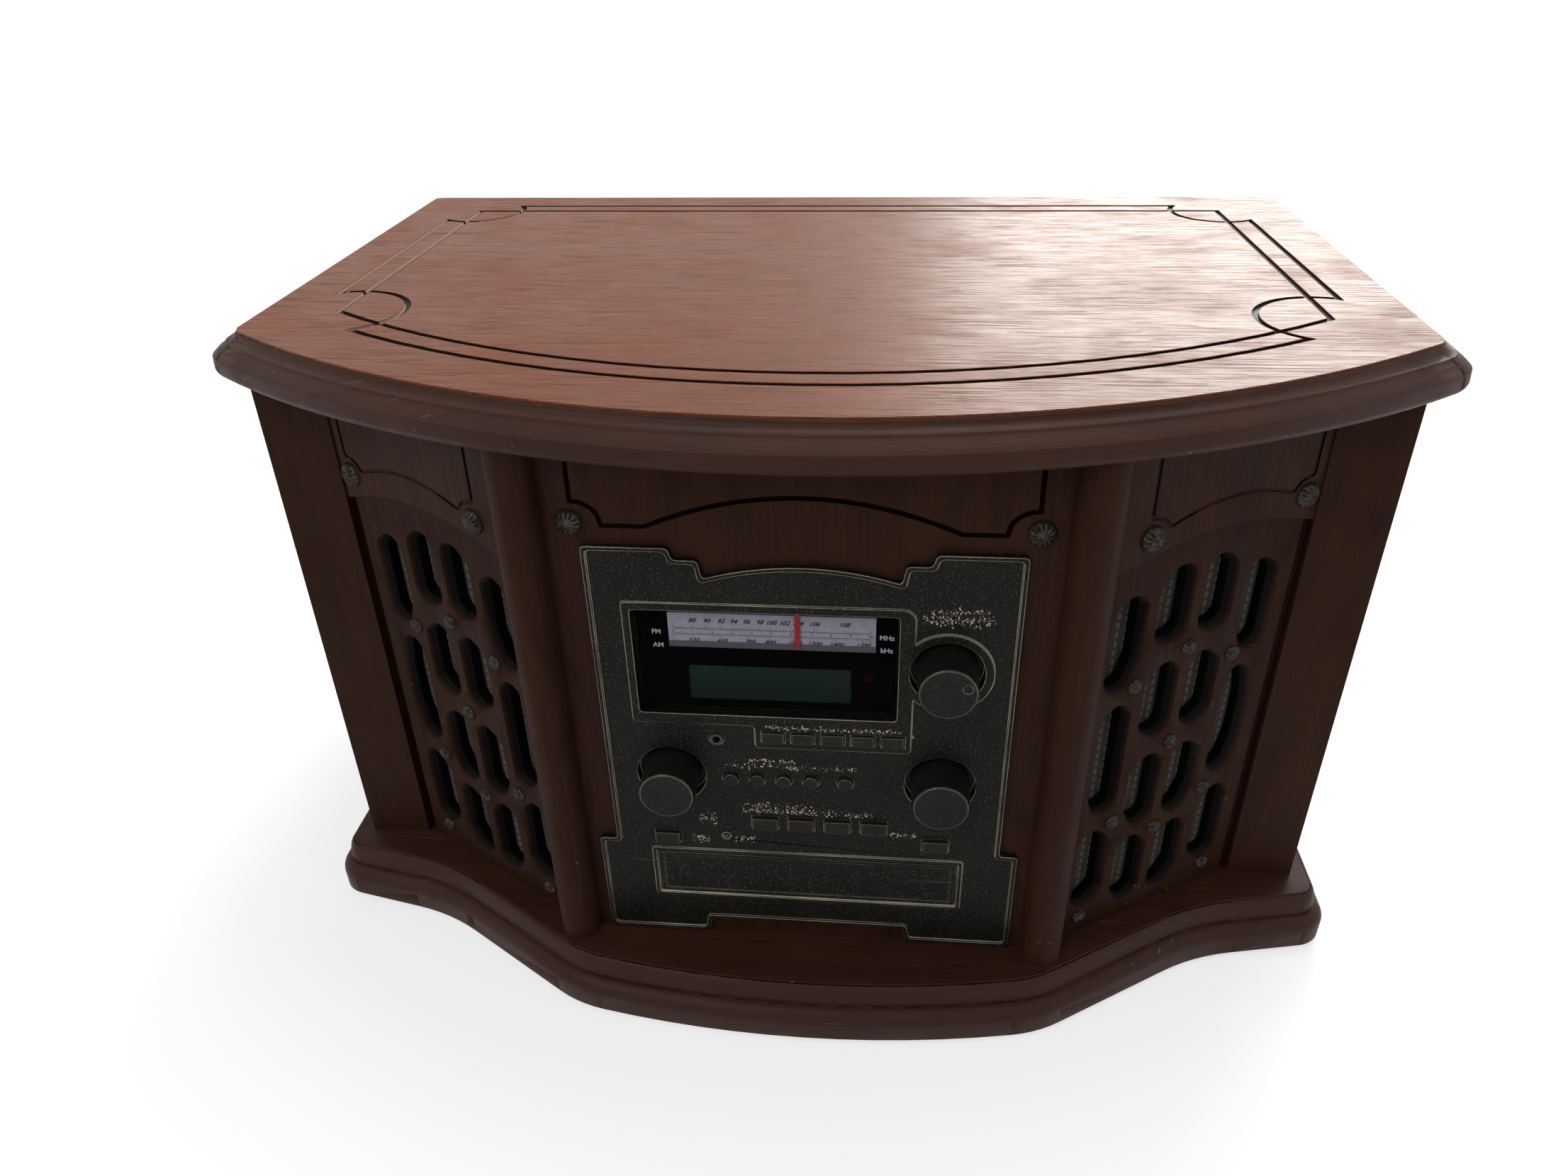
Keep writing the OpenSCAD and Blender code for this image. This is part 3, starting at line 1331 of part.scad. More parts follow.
base_board();
base_moulding();
foot_pads();
side_panels();
front_posts();
rear_panel();
front_board();
grille_panels();
grille_cloths();
rosette_studs();
speaker_baffles();
speakers();
deck_rails();
lid_panel();
lid_moulding();
lid_frame();
lid_fittings();
cabinet_fittings();
lid_stay_arm();
fascia();
dial_window();
dial_scale();
dial_pointer();
display_panel();
source_button(1);  // source_button_1
source_button(2);  // source_button_2
source_button(3);  // source_button_3
source_button(4);  // source_button_4
source_button(5);  // source_button_5
transport_button(1);  // transport_button_1
transport_button(2);  // transport_button_2
transport_button(3);  // transport_button_3
transport_button(4);  // transport_button_4
transport_button(5);  // transport_button_5
edit_button(1);  // edit_button_1
edit_button(2);  // edit_button_2
edit_button(3);  // edit_button_3
edit_button(4);  // edit_button_4
power_button();
open_button();
tuning_knob();
volume_knob();
level_knob();
electronics();
sockets_and_lamps();
cd_tray();
cd_tray_front();
cd_mechanism();
deck_plate();
platter();
platter_mat();
drive_belt();
turntable_motor();
motor_pulley();
tonearm_base();
tonearm_pivot();
tonearm();
cue_lever();
speed_selector();
screws();
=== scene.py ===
"""Looks of a tabletop music center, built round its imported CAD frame.

The frame gives every size and place. This script adds what the eye sees: stained wood with its
grain and wear, the hammered fascia with its dial print, pewter rosettes and the grille cloth.
"""

from __future__ import annotations

import json
import logging
import math
import random
from dataclasses import dataclass, field
from enum import Enum
from typing import Callable, Iterable, Sequence

import bmesh
import bpy
from mathutils import Matrix, Vector

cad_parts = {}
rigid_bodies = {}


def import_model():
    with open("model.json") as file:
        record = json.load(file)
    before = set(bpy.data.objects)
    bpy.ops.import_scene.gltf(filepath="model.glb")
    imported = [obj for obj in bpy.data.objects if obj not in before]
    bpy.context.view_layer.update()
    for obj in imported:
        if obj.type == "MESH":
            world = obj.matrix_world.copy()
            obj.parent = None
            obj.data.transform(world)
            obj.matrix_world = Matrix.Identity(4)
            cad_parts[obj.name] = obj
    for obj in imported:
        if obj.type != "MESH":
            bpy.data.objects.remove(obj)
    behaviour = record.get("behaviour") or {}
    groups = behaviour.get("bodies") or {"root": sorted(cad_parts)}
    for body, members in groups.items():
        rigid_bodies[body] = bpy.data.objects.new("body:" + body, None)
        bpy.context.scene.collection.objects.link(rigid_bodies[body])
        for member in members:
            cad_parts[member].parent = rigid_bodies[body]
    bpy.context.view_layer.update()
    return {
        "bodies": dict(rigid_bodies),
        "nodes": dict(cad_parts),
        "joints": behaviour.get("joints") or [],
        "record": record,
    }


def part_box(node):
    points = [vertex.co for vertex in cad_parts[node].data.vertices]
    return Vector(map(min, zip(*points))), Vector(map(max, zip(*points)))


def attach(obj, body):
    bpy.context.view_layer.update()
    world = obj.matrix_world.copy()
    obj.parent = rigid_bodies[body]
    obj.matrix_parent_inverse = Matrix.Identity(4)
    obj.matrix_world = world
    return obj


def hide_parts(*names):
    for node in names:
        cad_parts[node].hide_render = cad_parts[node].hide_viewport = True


LOG = logging.getLogger("music_center")
MM = 0.001
# How far the front's two wings turn back, and how far out and forward their outer corner is.
WING_TURN = math.radians(30.67)
WING_CORNER = (0.217, -0.081)
# How near two corners of a CAD mesh are that are one and the same, in metres.
WELD = 0.5e-5

Colour = tuple[float, float, float]
Point = tuple[float, float, float]
Flat = tuple[float, float]


class Grain(Enum):
    """Which way the wood's grain runs, as its turn out of the X axis in degrees."""

    ALONG_X = 0.0
    UPRIGHT = 90.0


def linear(colour: Colour, tone: float = 1.0) -> tuple[float, float, float, float]:
    """Turns a screen colour into the linear colour that a socket takes.

    Args:
        colour: red, green and blue as they look on a screen, 0 to 1.
        tone: how many times as light it is made.

    Returns:
        The linear colour with an alpha of 1.
    """
    screen = [min(1.0, c * tone) for c in colour]
    out = [c / 12.92 if c <= 0.04045 else ((c + 0.055) / 1.055) ** 2.4 for c in screen]
    return out[0], out[1], out[2], 1.0


class Graph:
    """Adds and links nodes in one node tree."""

    def __init__(self, tree: bpy.types.NodeTree) -> None:
        """Keeps the tree that the nodes go into.

        Args:
            tree: a material's or a group's node tree.
        """
        self.tree = tree

    def add(self, kind: str, inputs: dict | None = None, **settings: object) -> bpy.types.Node:
        """Adds one node.

        Args:
            kind: the node's class name without its ShaderNode prefix.
            inputs: socket name or index to a value or to another node's output.
            **settings: the node's own properties.

        Returns:
            The new node.
        """
        node = self.tree.nodes.new("ShaderNode" + kind)
        for name, value in settings.items():
            setattr(node, name, value)
        self.feed(node, inputs or {})
        return node

    def feed(self, node: bpy.types.Node, inputs: dict) -> None:
        """Links other nodes' outputs to a node's inputs, or sets the inputs' own values.

        Args:
            node: the node.
            inputs: socket name or index to a value or to another node's output.
        """
        for key, value in inputs.items():
            if isinstance(value, bpy.types.NodeSocket):
                self.tree.links.new(value, node.inputs[key])
            else:
                node.inputs[key].default_value = value

    def math(self, operation: str, a: object, b: object = 0.0,
             clamp: bool = False) -> bpy.types.NodeSocket:
        """Adds a Math node.

        Args:
            operation: what the node does, such as MULTIPLY.
            a: its first value or socket.
            b: its second value or socket.
            clamp: whether the result is kept between 0 and 1.

        Returns:
            The node's output.
        """
        return self.add("Math", {0: a, 1: b}, operation=operation, use_clamp=clamp).outputs[0]

    def ramp(self, value: object, low: float, high: float, out_low: float = 0.0,
             out_high: float = 1.0) -> bpy.types.NodeSocket:
        """Maps a value's range to another, smoothly and with its ends held.

        Args:
            value: the socket to map.
            low: the value that gives out_low.
            high: the value that gives out_high.
            out_low: the result at low.
            out_high: the result at high.

        Returns:
            The mapped output.
        """
        return self.add("MapRange", {0: value, 1: low, 2: high, 3: out_low, 4: out_high},
                        interpolation_type="SMOOTHSTEP").outputs[0]

    def mix(self, factor: object, a: object, b: object) -> bpy.types.NodeSocket:
        """Mixes two colours.

        Args:
            factor: 0 gives a, 1 gives b.
            a: the first colour or socket.
            b: the second colour or socket.

        Returns:
            The mixed colour's output.
        """
        return self.add("Mix", {0: factor, 6: a, 7: b}, data_type="RGBA").outputs[2]

    def noise(self, vector: object, scale: float, detail: float = 3.0, rough: float = 0.5,
              distortion: float = 0.0) -> bpy.types.NodeSocket:
        """Adds a noise texture.

        Args:
            vector: where it is read.
            scale: how many of its features there are in a metre.
            detail: how many finer layers it has.
            rough: how strong the finer layers are.
            distortion: how far it is warped.

        Returns:
            The noise value's output.
        """
        return self.add("TexNoise", {"Vector": vector, "Scale": scale, "Detail": detail,
                                     "Roughness": rough, "Distortion": distortion}).outputs[0]

    def stretch(self, vector: object, scale: Point,
                turn: Point = (0.0, 0.0, 0.0)) -> bpy.types.NodeSocket:
        """Scales and turns a vector.

        Args:
            vector: the vector's socket.
            scale: the factor along each axis.
            turn: the angle about each axis, in radians.

        Returns:
            The mapped vector's output.
        """
        return self.add("Mapping", {"Vector": vector, "Scale": scale,
                                    "Rotation": turn}).outputs[0]


class Group:
    """A shader node group with named inputs and outputs."""

    def __init__(self, name: str, inputs: dict[str, object], outputs: dict[str, str]) -> None:
        """Makes the group's tree and its sockets.

        Args:
            name: the group's name.
            inputs: socket name to its default, a number, a colour or None for a vector.
            outputs: socket name to NodeSocketFloat, NodeSocketColor or NodeSocketVector.
        """
        self.tree = bpy.data.node_groups.new(name, "ShaderNodeTree")
        for label, default in inputs.items():
            number = isinstance(default, float)
            kind = "Vector" if default is None else "Float" if number else "Color"
            socket = self.tree.interface.new_socket(label, in_out="INPUT",
                                                    socket_type="NodeSocket" + kind)
            if default is not None:
                socket.default_value = default
        for label, kind in outputs.items():
            self.tree.interface.new_socket(label, in_out="OUTPUT", socket_type=kind)
        self.graph = Graph(self.tree)
        self.source = self.tree.nodes.new("NodeGroupInput").outputs
        self.sink = self.tree.nodes.new("NodeGroupOutput")

    def give(self, **values: object) -> None:
        """Links sockets to the group's outputs.

        Args:
            **values: output name to the socket.
        """
        self.graph.feed(self.sink, values)


def make_grain_group() -> bpy.types.NodeTree:
    """Makes stained wood: broad figure, fine streaks and open pores along the group's X axis.

    Returns:
        The group's tree.
    """
    group = Group("wood_grain", {"Vector": None, "Dark": (0.0, 0.0, 0.0, 1.0),
                                 "Light": (1.0, 1.0, 1.0, 1.0), "Pores": 0.5, "Figure": 0.5},
                  {"Color": "NodeSocketColor", "Height": "NodeSocketFloat",
                   "Roughness": "NodeSocketFloat"})
    g, src = group.graph, group.source
    warp = g.add("VectorMath", {0: src["Vector"], 1: g.add(
        "TexNoise", {"Vector": g.stretch(src["Vector"], (1.6, 7.0, 7.0)), "Scale": 1.0,
                     "Detail": 2.0}).outputs[1]}, operation="ADD")
    figure = g.noise(g.stretch(warp.outputs[0], (1.2, 28.0, 28.0)), 1.0, 4.0, 0.55, 0.3)
    streak = g.noise(g.stretch(src["Vector"], (9.0, 420.0, 420.0)), 1.0, 3.0, 0.6)
    pore = g.noise(g.stretch(src["Vector"], (38.0, 1500.0, 1500.0)), 1.0, 2.0, 0.5)
    open_pore = g.noise(g.stretch(src["Vector"], (26.0, 820.0, 820.0)), 1.0, 3.0, 0.55, 0.4)
    open_pore = g.math("MULTIPLY", g.ramp(open_pore, 0.53, 0.62),
                       g.ramp(figure, 0.38, 0.6, 0.35, 1.0))
    pores = g.math("MAXIMUM", g.ramp(pore, 0.56, 0.68, 0.0, 0.6), open_pore)
    pores = g.math("MULTIPLY", pores, src["Pores"])
    tone = g.math("ADD", g.math("MULTIPLY", g.math("SUBTRACT", figure, 0.5),
                                g.math("MULTIPLY", src["Figure"], 2.2)),
                  g.math("MULTIPLY", g.math("SUBTRACT", streak, 0.5), 0.7))
    colour = g.mix(g.math("ADD", tone, 0.5, clamp=True), src["Dark"], src["Light"])
    colour = g.mix(g.math("MULTIPLY", pores, 0.75), colour, g.mix(0.75, colour, (0, 0, 0, 1)))
    fine = g.math("MULTIPLY", streak, 0.25)
    group.give(Color=colour, Height=g.math("SUBTRACT", fine, pores),
               Roughness=g.math("ADD", fine, g.math("MULTIPLY", pores, 0.3)))
    return group.tree


def make_wear_group() -> bpy.types.NodeTree:
    """Makes wear: sparse chips, hair scratches and a dusty cloudiness.

    Returns:
        The group's tree.
    """
    group = Group("wear", {"Vector": None, "Chips": 0.5, "Scratches": 0.5},
                  {"Chip": "NodeSocketFloat", "Scratch": "NodeSocketFloat",
                   "Dust": "NodeSocketFloat"})
    g, src = group.graph, group.source
    chip = g.noise(src["Vector"], 130.0, 4.0, 0.7)
    patch = g.noise(src["Vector"], 14.0, 2.0)
    chips = g.math("MULTIPLY", g.ramp(chip, 0.70, 0.73), g.ramp(patch, 0.52, 0.66))
    one = g.noise(g.stretch(src["Vector"], (7.0, 520.0, 300.0), (0.2, 0.0, 0.55)), 1.0, 1.0)
    two = g.noise(g.stretch(src["Vector"], (9.0, 640.0, 300.0), (0.1, 0.3, -0.35)), 1.0, 1.0)
    lines = g.math("ADD", g.ramp(one, 0.735, 0.76), g.ramp(two, 0.74, 0.765), clamp=True)
    lines = g.math("MULTIPLY", lines, g.ramp(g.noise(src["Vector"], 9.0, 2.0), 0.5, 0.66))
    dust = g.ramp(g.noise(src["Vector"], 22.0, 5.0, 0.65), 0.4, 0.75)
    group.give(Chip=g.math("MULTIPLY", chips, src["Chips"]),
               Scratch=g.math("MULTIPLY", lines, src["Scratches"]), Dust=dust)
    return group.tree


def make_hammer_group() -> bpy.types.NodeTree:
    """Makes hammered paint: fine dimples and pale specks, partly the paint's own and partly painted
    glints.

    Returns:
        The group's tree.
    """
    group = Group("hammered", {"Vector": None, "Scale": 1.0},
                  {"Height": "NodeSocketFloat", "Fleck": "NodeSocketFloat"})
    g, src = group.graph, group.source
    vector = g.add("VectorMath", {0: src["Vector"], "Scale": src["Scale"]},
                   operation="SCALE").outputs[0]
    cells = g.add("TexVoronoi", {"Vector": vector, "Scale": 1150.0, "Randomness": 1.0},
                  feature="SMOOTH_F1").outputs[0]
    fine = g.noise(vector, 1500.0, 2.0, 0.6)
    group.give(Height=g.math("ADD", cells, g.math("MULTIPLY", fine, 0.5)),
               Fleck=g.ramp(fine, 0.55, 0.72))
    return group.tree


@dataclass(frozen=True)
class Finish:
    """A moulded or painted finish, and the base that the other kinds build on.

    It is named for the record's slot that it dresses, or for a use of its own.
    """

    name: str
    colour: Colour
    rough: float = 0.5
    metal: float = 0.0
    gloss: float = 0.5

    def start(self) -> tuple[bpy.types.Material, Graph, bpy.types.Node, bpy.types.NodeSocket]:
        """Makes the material with its shader.

        Returns:
            The material, its graph, the Principled BSDF and the Object coordinate output.
        """
        material = bpy.data.materials.new(self.name)
        material.use_nodes = True
        graph = Graph(material.node_tree)
        shader = material.node_tree.nodes["Principled BSDF"]
        graph.feed(shader, {"Base Color": linear(self.colour), "Roughness": self.rough,
                            "Metallic": self.metal, "Specular IOR Level": self.gloss})
        material.diffuse_color = linear(self.colour)
        return material, graph, shader, graph.add("TexCoord").outputs["Object"]

    def bump(self, graph: Graph, shader: bpy.types.Node, height: object, strength: float,
             distance: float) -> None:
        """Feeds a height to the shader's normal.

        Args:
            graph: the material's graph.
            shader: the Principled BSDF.
            height: the height's socket.
            strength: how much of it shows.
            distance: how deep a full height is, in metres.
        """
        node = graph.add("Bump", {"Height": height, "Strength": strength, "Distance": distance})
        graph.feed(shader, {"Normal": node.outputs[0]})

    def build(self, groups: dict[str, bpy.types.NodeTree]) -> bpy.types.Material:
        """Makes a moulded or painted finish with a faint mottle.

        Args:
            groups: the shared node groups by name; not used here.

        Returns:
            The material.
        """
        material, g, shader, at = self.start()
        mottle = g.noise(at, 260.0, 4.0, 0.6)
        g.feed(shader, {
            "Base Color": g.mix(mottle, linear(self.colour, 0.86), linear(self.colour, 1.12)),
            "Roughness": g.ramp(mottle, 0.2, 0.8, self.rough * 0.85,
                                min(1.0, self.rough * 1.15))})
        self.bump(g, shader, mottle, 0.15, 0.00008)
        return material


@dataclass(frozen=True)
class StainedWood(Finish):
    """Stained and lacquered wood."""

    dark: Colour = (0.1, 0.05, 0.03)
    bare: Colour = (0.78, 0.66, 0.56)
    grain: Grain = Grain.ALONG_X
    pores: float = 0.5
    figure: float = 0.5
    chips: float = 0.3
    scratches: float = 0.3
    relief: float = 0.35
    wing_turn: float = 0.0

    def shade(self, g: Graph, at: bpy.types.NodeSocket, colour: object) -> object:
        """Paints shade on the walls of the grilles' slots, darker the deeper they lie behind the
        front arris.

        Args:
            g: the material's graph.
            at: the Object coordinate output.
            colour: the wood's colour.

        Returns:
            The colour with painted shade in its slots, or the same colour where there are none.
        """
        if not self.wing_turn:
            return colour
        place = g.add("SeparateXYZ", {0: at})
        inward = g.math("SUBTRACT", WING_CORNER[0], g.math("ABSOLUTE", place.outputs[0]))
        behind = g.math("SUBTRACT", place.outputs[1], WING_CORNER[1])
        depth = g.math("ADD", g.math("MULTIPLY", inward, math.sin(self.wing_turn)),
                       g.math("MULTIPLY", behind, math.cos(self.wing_turn)))
        # Painted shade: the slot walls turn near black with their depth behind the arris.
        return g.mix(g.ramp(depth, 0.0004, 0.0020), colour, linear((0.035, 0.028, 0.024)))

    def build(self, groups: dict[str, bpy.types.NodeTree]) -> bpy.types.Material:
        """Makes the wood with its grain, pores, chips and scratches.

        Args:
            groups: the shared node groups by name.

        Returns:
            The material.
        """
        material, g, shader, at = self.start()
        along = g.stretch(at, (1.0, 1.0, 1.0), (0.0, math.radians(self.grain.value), 0.0))
        grain = g.add("Group", {"Vector": along, "Dark": linear(self.dark),
                                "Light": linear(self.colour), "Pores": self.pores,
                                "Figure": self.figure}, node_tree=groups["grain"])
        wear = g.add("Group", {"Vector": at, "Chips": self.chips,
                               "Scratches": self.scratches}, node_tree=groups["wear"])
        bare = linear(self.bare)
        colour = g.mix(g.math("MULTIPLY", wear.outputs["Chip"], 0.8), grain.outputs["Color"],
                       bare)
        colour = g.mix(g.math("MULTIPLY", wear.outputs["Scratch"], 0.35), colour, bare)
        rough = g.math("ADD", g.math("MULTIPLY", grain.outputs["Roughness"], 0.5), self.rough)
        dusty = g.math("ADD", rough, g.math("MULTIPLY", wear.outputs["Dust"], 0.12), clamp=True)
        g.feed(shader, {"Base Color": self.shade(g, at, colour), "Roughness": dusty})
        height = g.math("SUBTRACT", grain.outputs["Height"],
                        g.math("MULTIPLY", wear.outputs["Scratch"], 0.6))
        self.bump(g, shader, height, self.relief, 0.0004)
        return material


@dataclass(frozen=True)
class HammeredPaint(Finish):
    """Gunmetal paint with a hammered skin."""

    depth: float = 0.5
    fleck: Colour = (0.3, 0.3, 0.28)
    scuff: Colour = (0.62, 0.60, 0.56)
    scale: float = 1.0

    def build(self, groups: dict[str, bpy.types.NodeTree]) -> bpy.types.Material:
        """Makes the paint with its dimples, pale specks that are partly its own and partly painted
        glints, and light scuffs.

        Args:
            groups: the shared node groups by name.

        Returns:
            The material.
        """
        material, g, shader, at = self.start()
        hammer = g.add("Group", {"Vector": at, "Scale": self.scale},
                       node_tree=groups["hammer"])
        wear = g.add("Group", {"Vector": g.stretch(at, (1.3, 1.3, 1.3)), "Chips": 0.15,
                               "Scratches": 0.5}, node_tree=groups["wear"])
        cloud = g.noise(at, 34.0, 4.0, 0.6)
        colour = g.mix(g.ramp(cloud, 0.3, 0.7), linear(self.colour, 0.8),
                       linear(self.colour, 1.15))
        # Pale specks: partly the paint's own, partly painted glints on the hammered dimples.
        colour = g.mix(g.math("MULTIPLY", hammer.outputs["Fleck"], 0.7), colour,
                       linear(self.fleck))
        colour = g.mix(g.math("MULTIPLY", wear.outputs["Scratch"], 0.4), colour,
                       linear(self.scuff))
        rough = g.math("ADD", g.math("MULTIPLY", cloud, 0.15), self.rough - 0.07, clamp=True)
        g.feed(shader, {"Base Color": colour, "Roughness": rough})
        self.bump(g, shader, hammer.outputs["Height"], self.depth, 0.00018)
        return material


@dataclass(frozen=True)
class AgedPewter(Finish):
    """Pewter with dark in its hollows."""

    def build(self, groups: dict[str, bpy.types.NodeTree]) -> bpy.types.Material:
        """Makes the pewter, darker where a fine noise says that it is tarnished.

        Args:
            groups: the shared node groups by name; not used here.

        Returns:
            The material.
        """
        material, g, shader, at = self.start()
        tarnish = g.ramp(g.noise(at, 420.0, 4.0, 0.65), 0.35, 0.7)
        g.feed(shader, {
            "Base Color": g.mix(tarnish, linear(self.colour), linear(self.colour, 0.55)),
            "Roughness": g.ramp(tarnish, 0.0, 1.0, self.rough, min(1.0, self.rough + 0.25))})
        self.bump(g, shader, tarnish, 0.2, 0.0001)
        return material


@dataclass(frozen=True)
class DashedCloth(Finish):
    """Black grille cloth with rows of short pale threads."""

    thread: Colour = (0.44, 0.35, 0.23)
    pitch: float = 4.4 * MM
    dash: float = 4.8 * MM
    yarn: float = 0.8 * MM
    turn: float = 0.0

    def build(self, groups: dict[str, bpy.types.NodeTree]) -> bpy.types.Material:
        """Makes the weave and the dashed threads, laid along the cloth.

        Args:
            groups: the shared node groups by name; not used here.

        Returns:
            The material.
        """
        material, g, shader, at = self.start()
        flat = g.add("SeparateXYZ", {0: g.stretch(at, (1.0, 1.0, 1.0), (0.0, 0.0, self.turn))})
        across, up = flat.outputs[0], flat.outputs[2]
        above_zero = 400.0
        column = g.math("ADD", g.math("MULTIPLY", across, 1 / self.pitch), above_zero)
        odd = g.math("MULTIPLY", g.math("MODULO", g.math("FLOOR", column), 2.0), 0.5)
        row = g.math("FRACT", g.math("ADD", g.math("MULTIPLY", up, 1 / self.dash), odd))
        side = g.math("ABSOLUTE", g.math("SUBTRACT", g.math("FRACT", column), 0.5))
        end = g.math("ABSOLUTE", g.math("SUBTRACT", row, 0.5))
        mark = g.math("MULTIPLY", g.ramp(side, 0.22, 0.15), g.ramp(end, 0.36, 0.30))
        wave = 2 * math.pi / self.yarn
        weave = g.math("MULTIPLY", g.math("SINE", g.math("MULTIPLY", across, wave)),
                       g.math("SINE", g.math("MULTIPLY", up, wave)))
        fray = g.noise(at, 900.0, 2.0)
        colour = g.mix(g.ramp(weave, -0.6, 0.9), linear(self.colour), linear(self.colour, 2.2))
        colour = g.mix(g.math("MULTIPLY", mark, g.ramp(fray, 0.2, 0.6, 0.5, 1.0)), colour,
                       linear(self.thread))
        g.feed(shader, {"Base Color": colour, "Sheen Weight": 0.15})
        self.bump(g, shader, g.math("ADD", g.math("MULTIPLY", weave, 0.4), mark), 0.6, 0.0003)
        return material


@dataclass(frozen=True)
class SmokedGlass(Finish):
    """Dark clear plastic in front of the dial."""

    alpha: float = 0.15

    def build(self, groups: dict[str, bpy.types.NodeTree]) -> bpy.types.Material:
        """Makes the clear plastic, faintly smeared.

        Args:
            groups: the shared node groups by name; not used here.

        Returns:
            The material.
        """
        material, g, shader, at = self.start()
        g.feed(shader, {"Alpha": self.alpha,
                        "Roughness": g.ramp(g.noise(at, 60.0, 3.0), 0.3, 0.8, 0.22, 0.3)})
        return material


@dataclass(frozen=True)
class DisplayFace(Finish):
    """Black carrier with a grey-green liquid crystal glass in its lower half."""

    glass: Colour = (0.17, 0.225, 0.215)
    segment: Colour = (0.10, 0.13, 0.125)
    segment_pitch: float = 4.4 * MM
    middle: Flat = (-0.0149, 0.1854)
    half: Flat = (0.0354, 0.0089)

    def build(self, groups: dict[str, bpy.types.NodeTree]) -> bpy.types.Material:
        """Makes the carrier's black and the glass's faint upright segments.

        Args:
            groups: the shared node groups by name; not used here.

        Returns:
            The material.
        """
        material, g, shader, at = self.start()
        place = g.add("SeparateXYZ", {0: at})
        inside = 1.0
        for axis, middle, half in ((0, self.middle[0], self.half[0]),
                                   (2, self.middle[1], self.half[1])):
            away = g.math("ABSOLUTE", g.math("SUBTRACT", place.outputs[axis], middle))
            inside = g.math("MULTIPLY", inside, g.math("LESS_THAN", away, half))
        bars = g.math("SINE", g.math("MULTIPLY", place.outputs[0],
                                     2 * math.pi / self.segment_pitch))
        glass = g.mix(g.ramp(bars, 0.7, 1.0, 0.0, 0.12), linear(self.glass),
                      linear(self.segment))
        height = self.middle[1]
        glass = g.mix(g.ramp(place.outputs[2], height - 6 * MM, height + 8 * MM), glass,
                      linear(self.glass, 1.15))
        g.feed(shader, {"Base Color": g.mix(inside, linear(self.colour), glass),
                        "Roughness": g.ramp(g.noise(at, 90.0, 3.0), 0.3, 0.7,
                                            self.rough * 0.8, self.rough)})
        return material


class Bench:
    """Modelling steps shared by the pieces, done with Blender's own operators."""

    @staticmethod
    def clear() -> None:
        """Deselects everything."""
        bpy.ops.object.select_all(action="DESELECT")

    @classmethod
    def take(cls, *objects: bpy.types.Object) -> None:
        """Selects some objects and makes the first the active one.

        Args:
            *objects: what to select.
        """
        cls.clear()
        for item in objects:
            item.select_set(True)
        bpy.context.view_layer.objects.active = objects[0]

    @classmethod
    def edit(cls, item: bpy.types.Object, step: Callable[..., object],
             **settings: object) -> None:
        """Runs one of edit mode's operators on an object's whole mesh.

        Args:
            item: the object.
            step: the operator.
            **settings: what the operator is told.
        """
        cls.take(item)
        bpy.ops.object.mode_set(mode="EDIT")
        bpy.ops.mesh.select_all(action="SELECT")
        step(**settings)
        bpy.ops.object.mode_set(mode="OBJECT")

    @classmethod
    def settle(cls, item: bpy.types.Object) -> bpy.types.Object:
        """Applies an object's place, turn and scale to its mesh.

        Args:
            item: the object.

        Returns:
            The same object, at the origin.
        """
        cls.take(item)
        bpy.ops.object.transform_apply(location=True, rotation=True, scale=True)
        return item

    @classmethod
    def modify(cls, item: bpy.types.Object, kind: str, **settings: object) -> None:
        """Adds a modifier and applies it.

        Args:
            item: the object.
            kind: the modifier's type.
            **settings: its properties.
        """
        cls.take(item)
        bpy.ops.object.modifier_add(type=kind)
        modifier = item.modifiers[-1]
        for name, value in settings.items():
            setattr(modifier, name, value)
        bpy.ops.object.modifier_apply(modifier=modifier.name)

    @classmethod
    def join(cls, name: str, items: Sequence[bpy.types.Object]) -> bpy.types.Object:
        """Joins objects into one.

        Args:
            name: the joined object's name.
            items: the objects, of which the first stays.

        Returns:
            The joined object.
        """
        cls.take(*items)
        bpy.ops.object.join()
        items[0].name = name
        return items[0]

    @classmethod
    def copy(cls, item: bpy.types.Object, name: str) -> bpy.types.Object:
        """Copies an object with its own mesh.

        Args:
            item: the object.
            name: the copy's name.

        Returns:
            The copy.
        """
        twin = item.copy()
        twin.data = item.data.copy()
        twin.name = name
        twin.parent = None
        bpy.context.scene.collection.objects.link(twin)
        return twin

    @classmethod
    def smooth(cls, item: bpy.types.Object, degrees: float = 35.0) -> None:
        """Shades an object smoothly, with its sharp edges kept.

        Args:
            item: the object.
            degrees: the least angle of a sharp edge.
        """
        cls.take(item)
        bpy.ops.object.shade_smooth_by_angle(angle=math.radians(degrees))


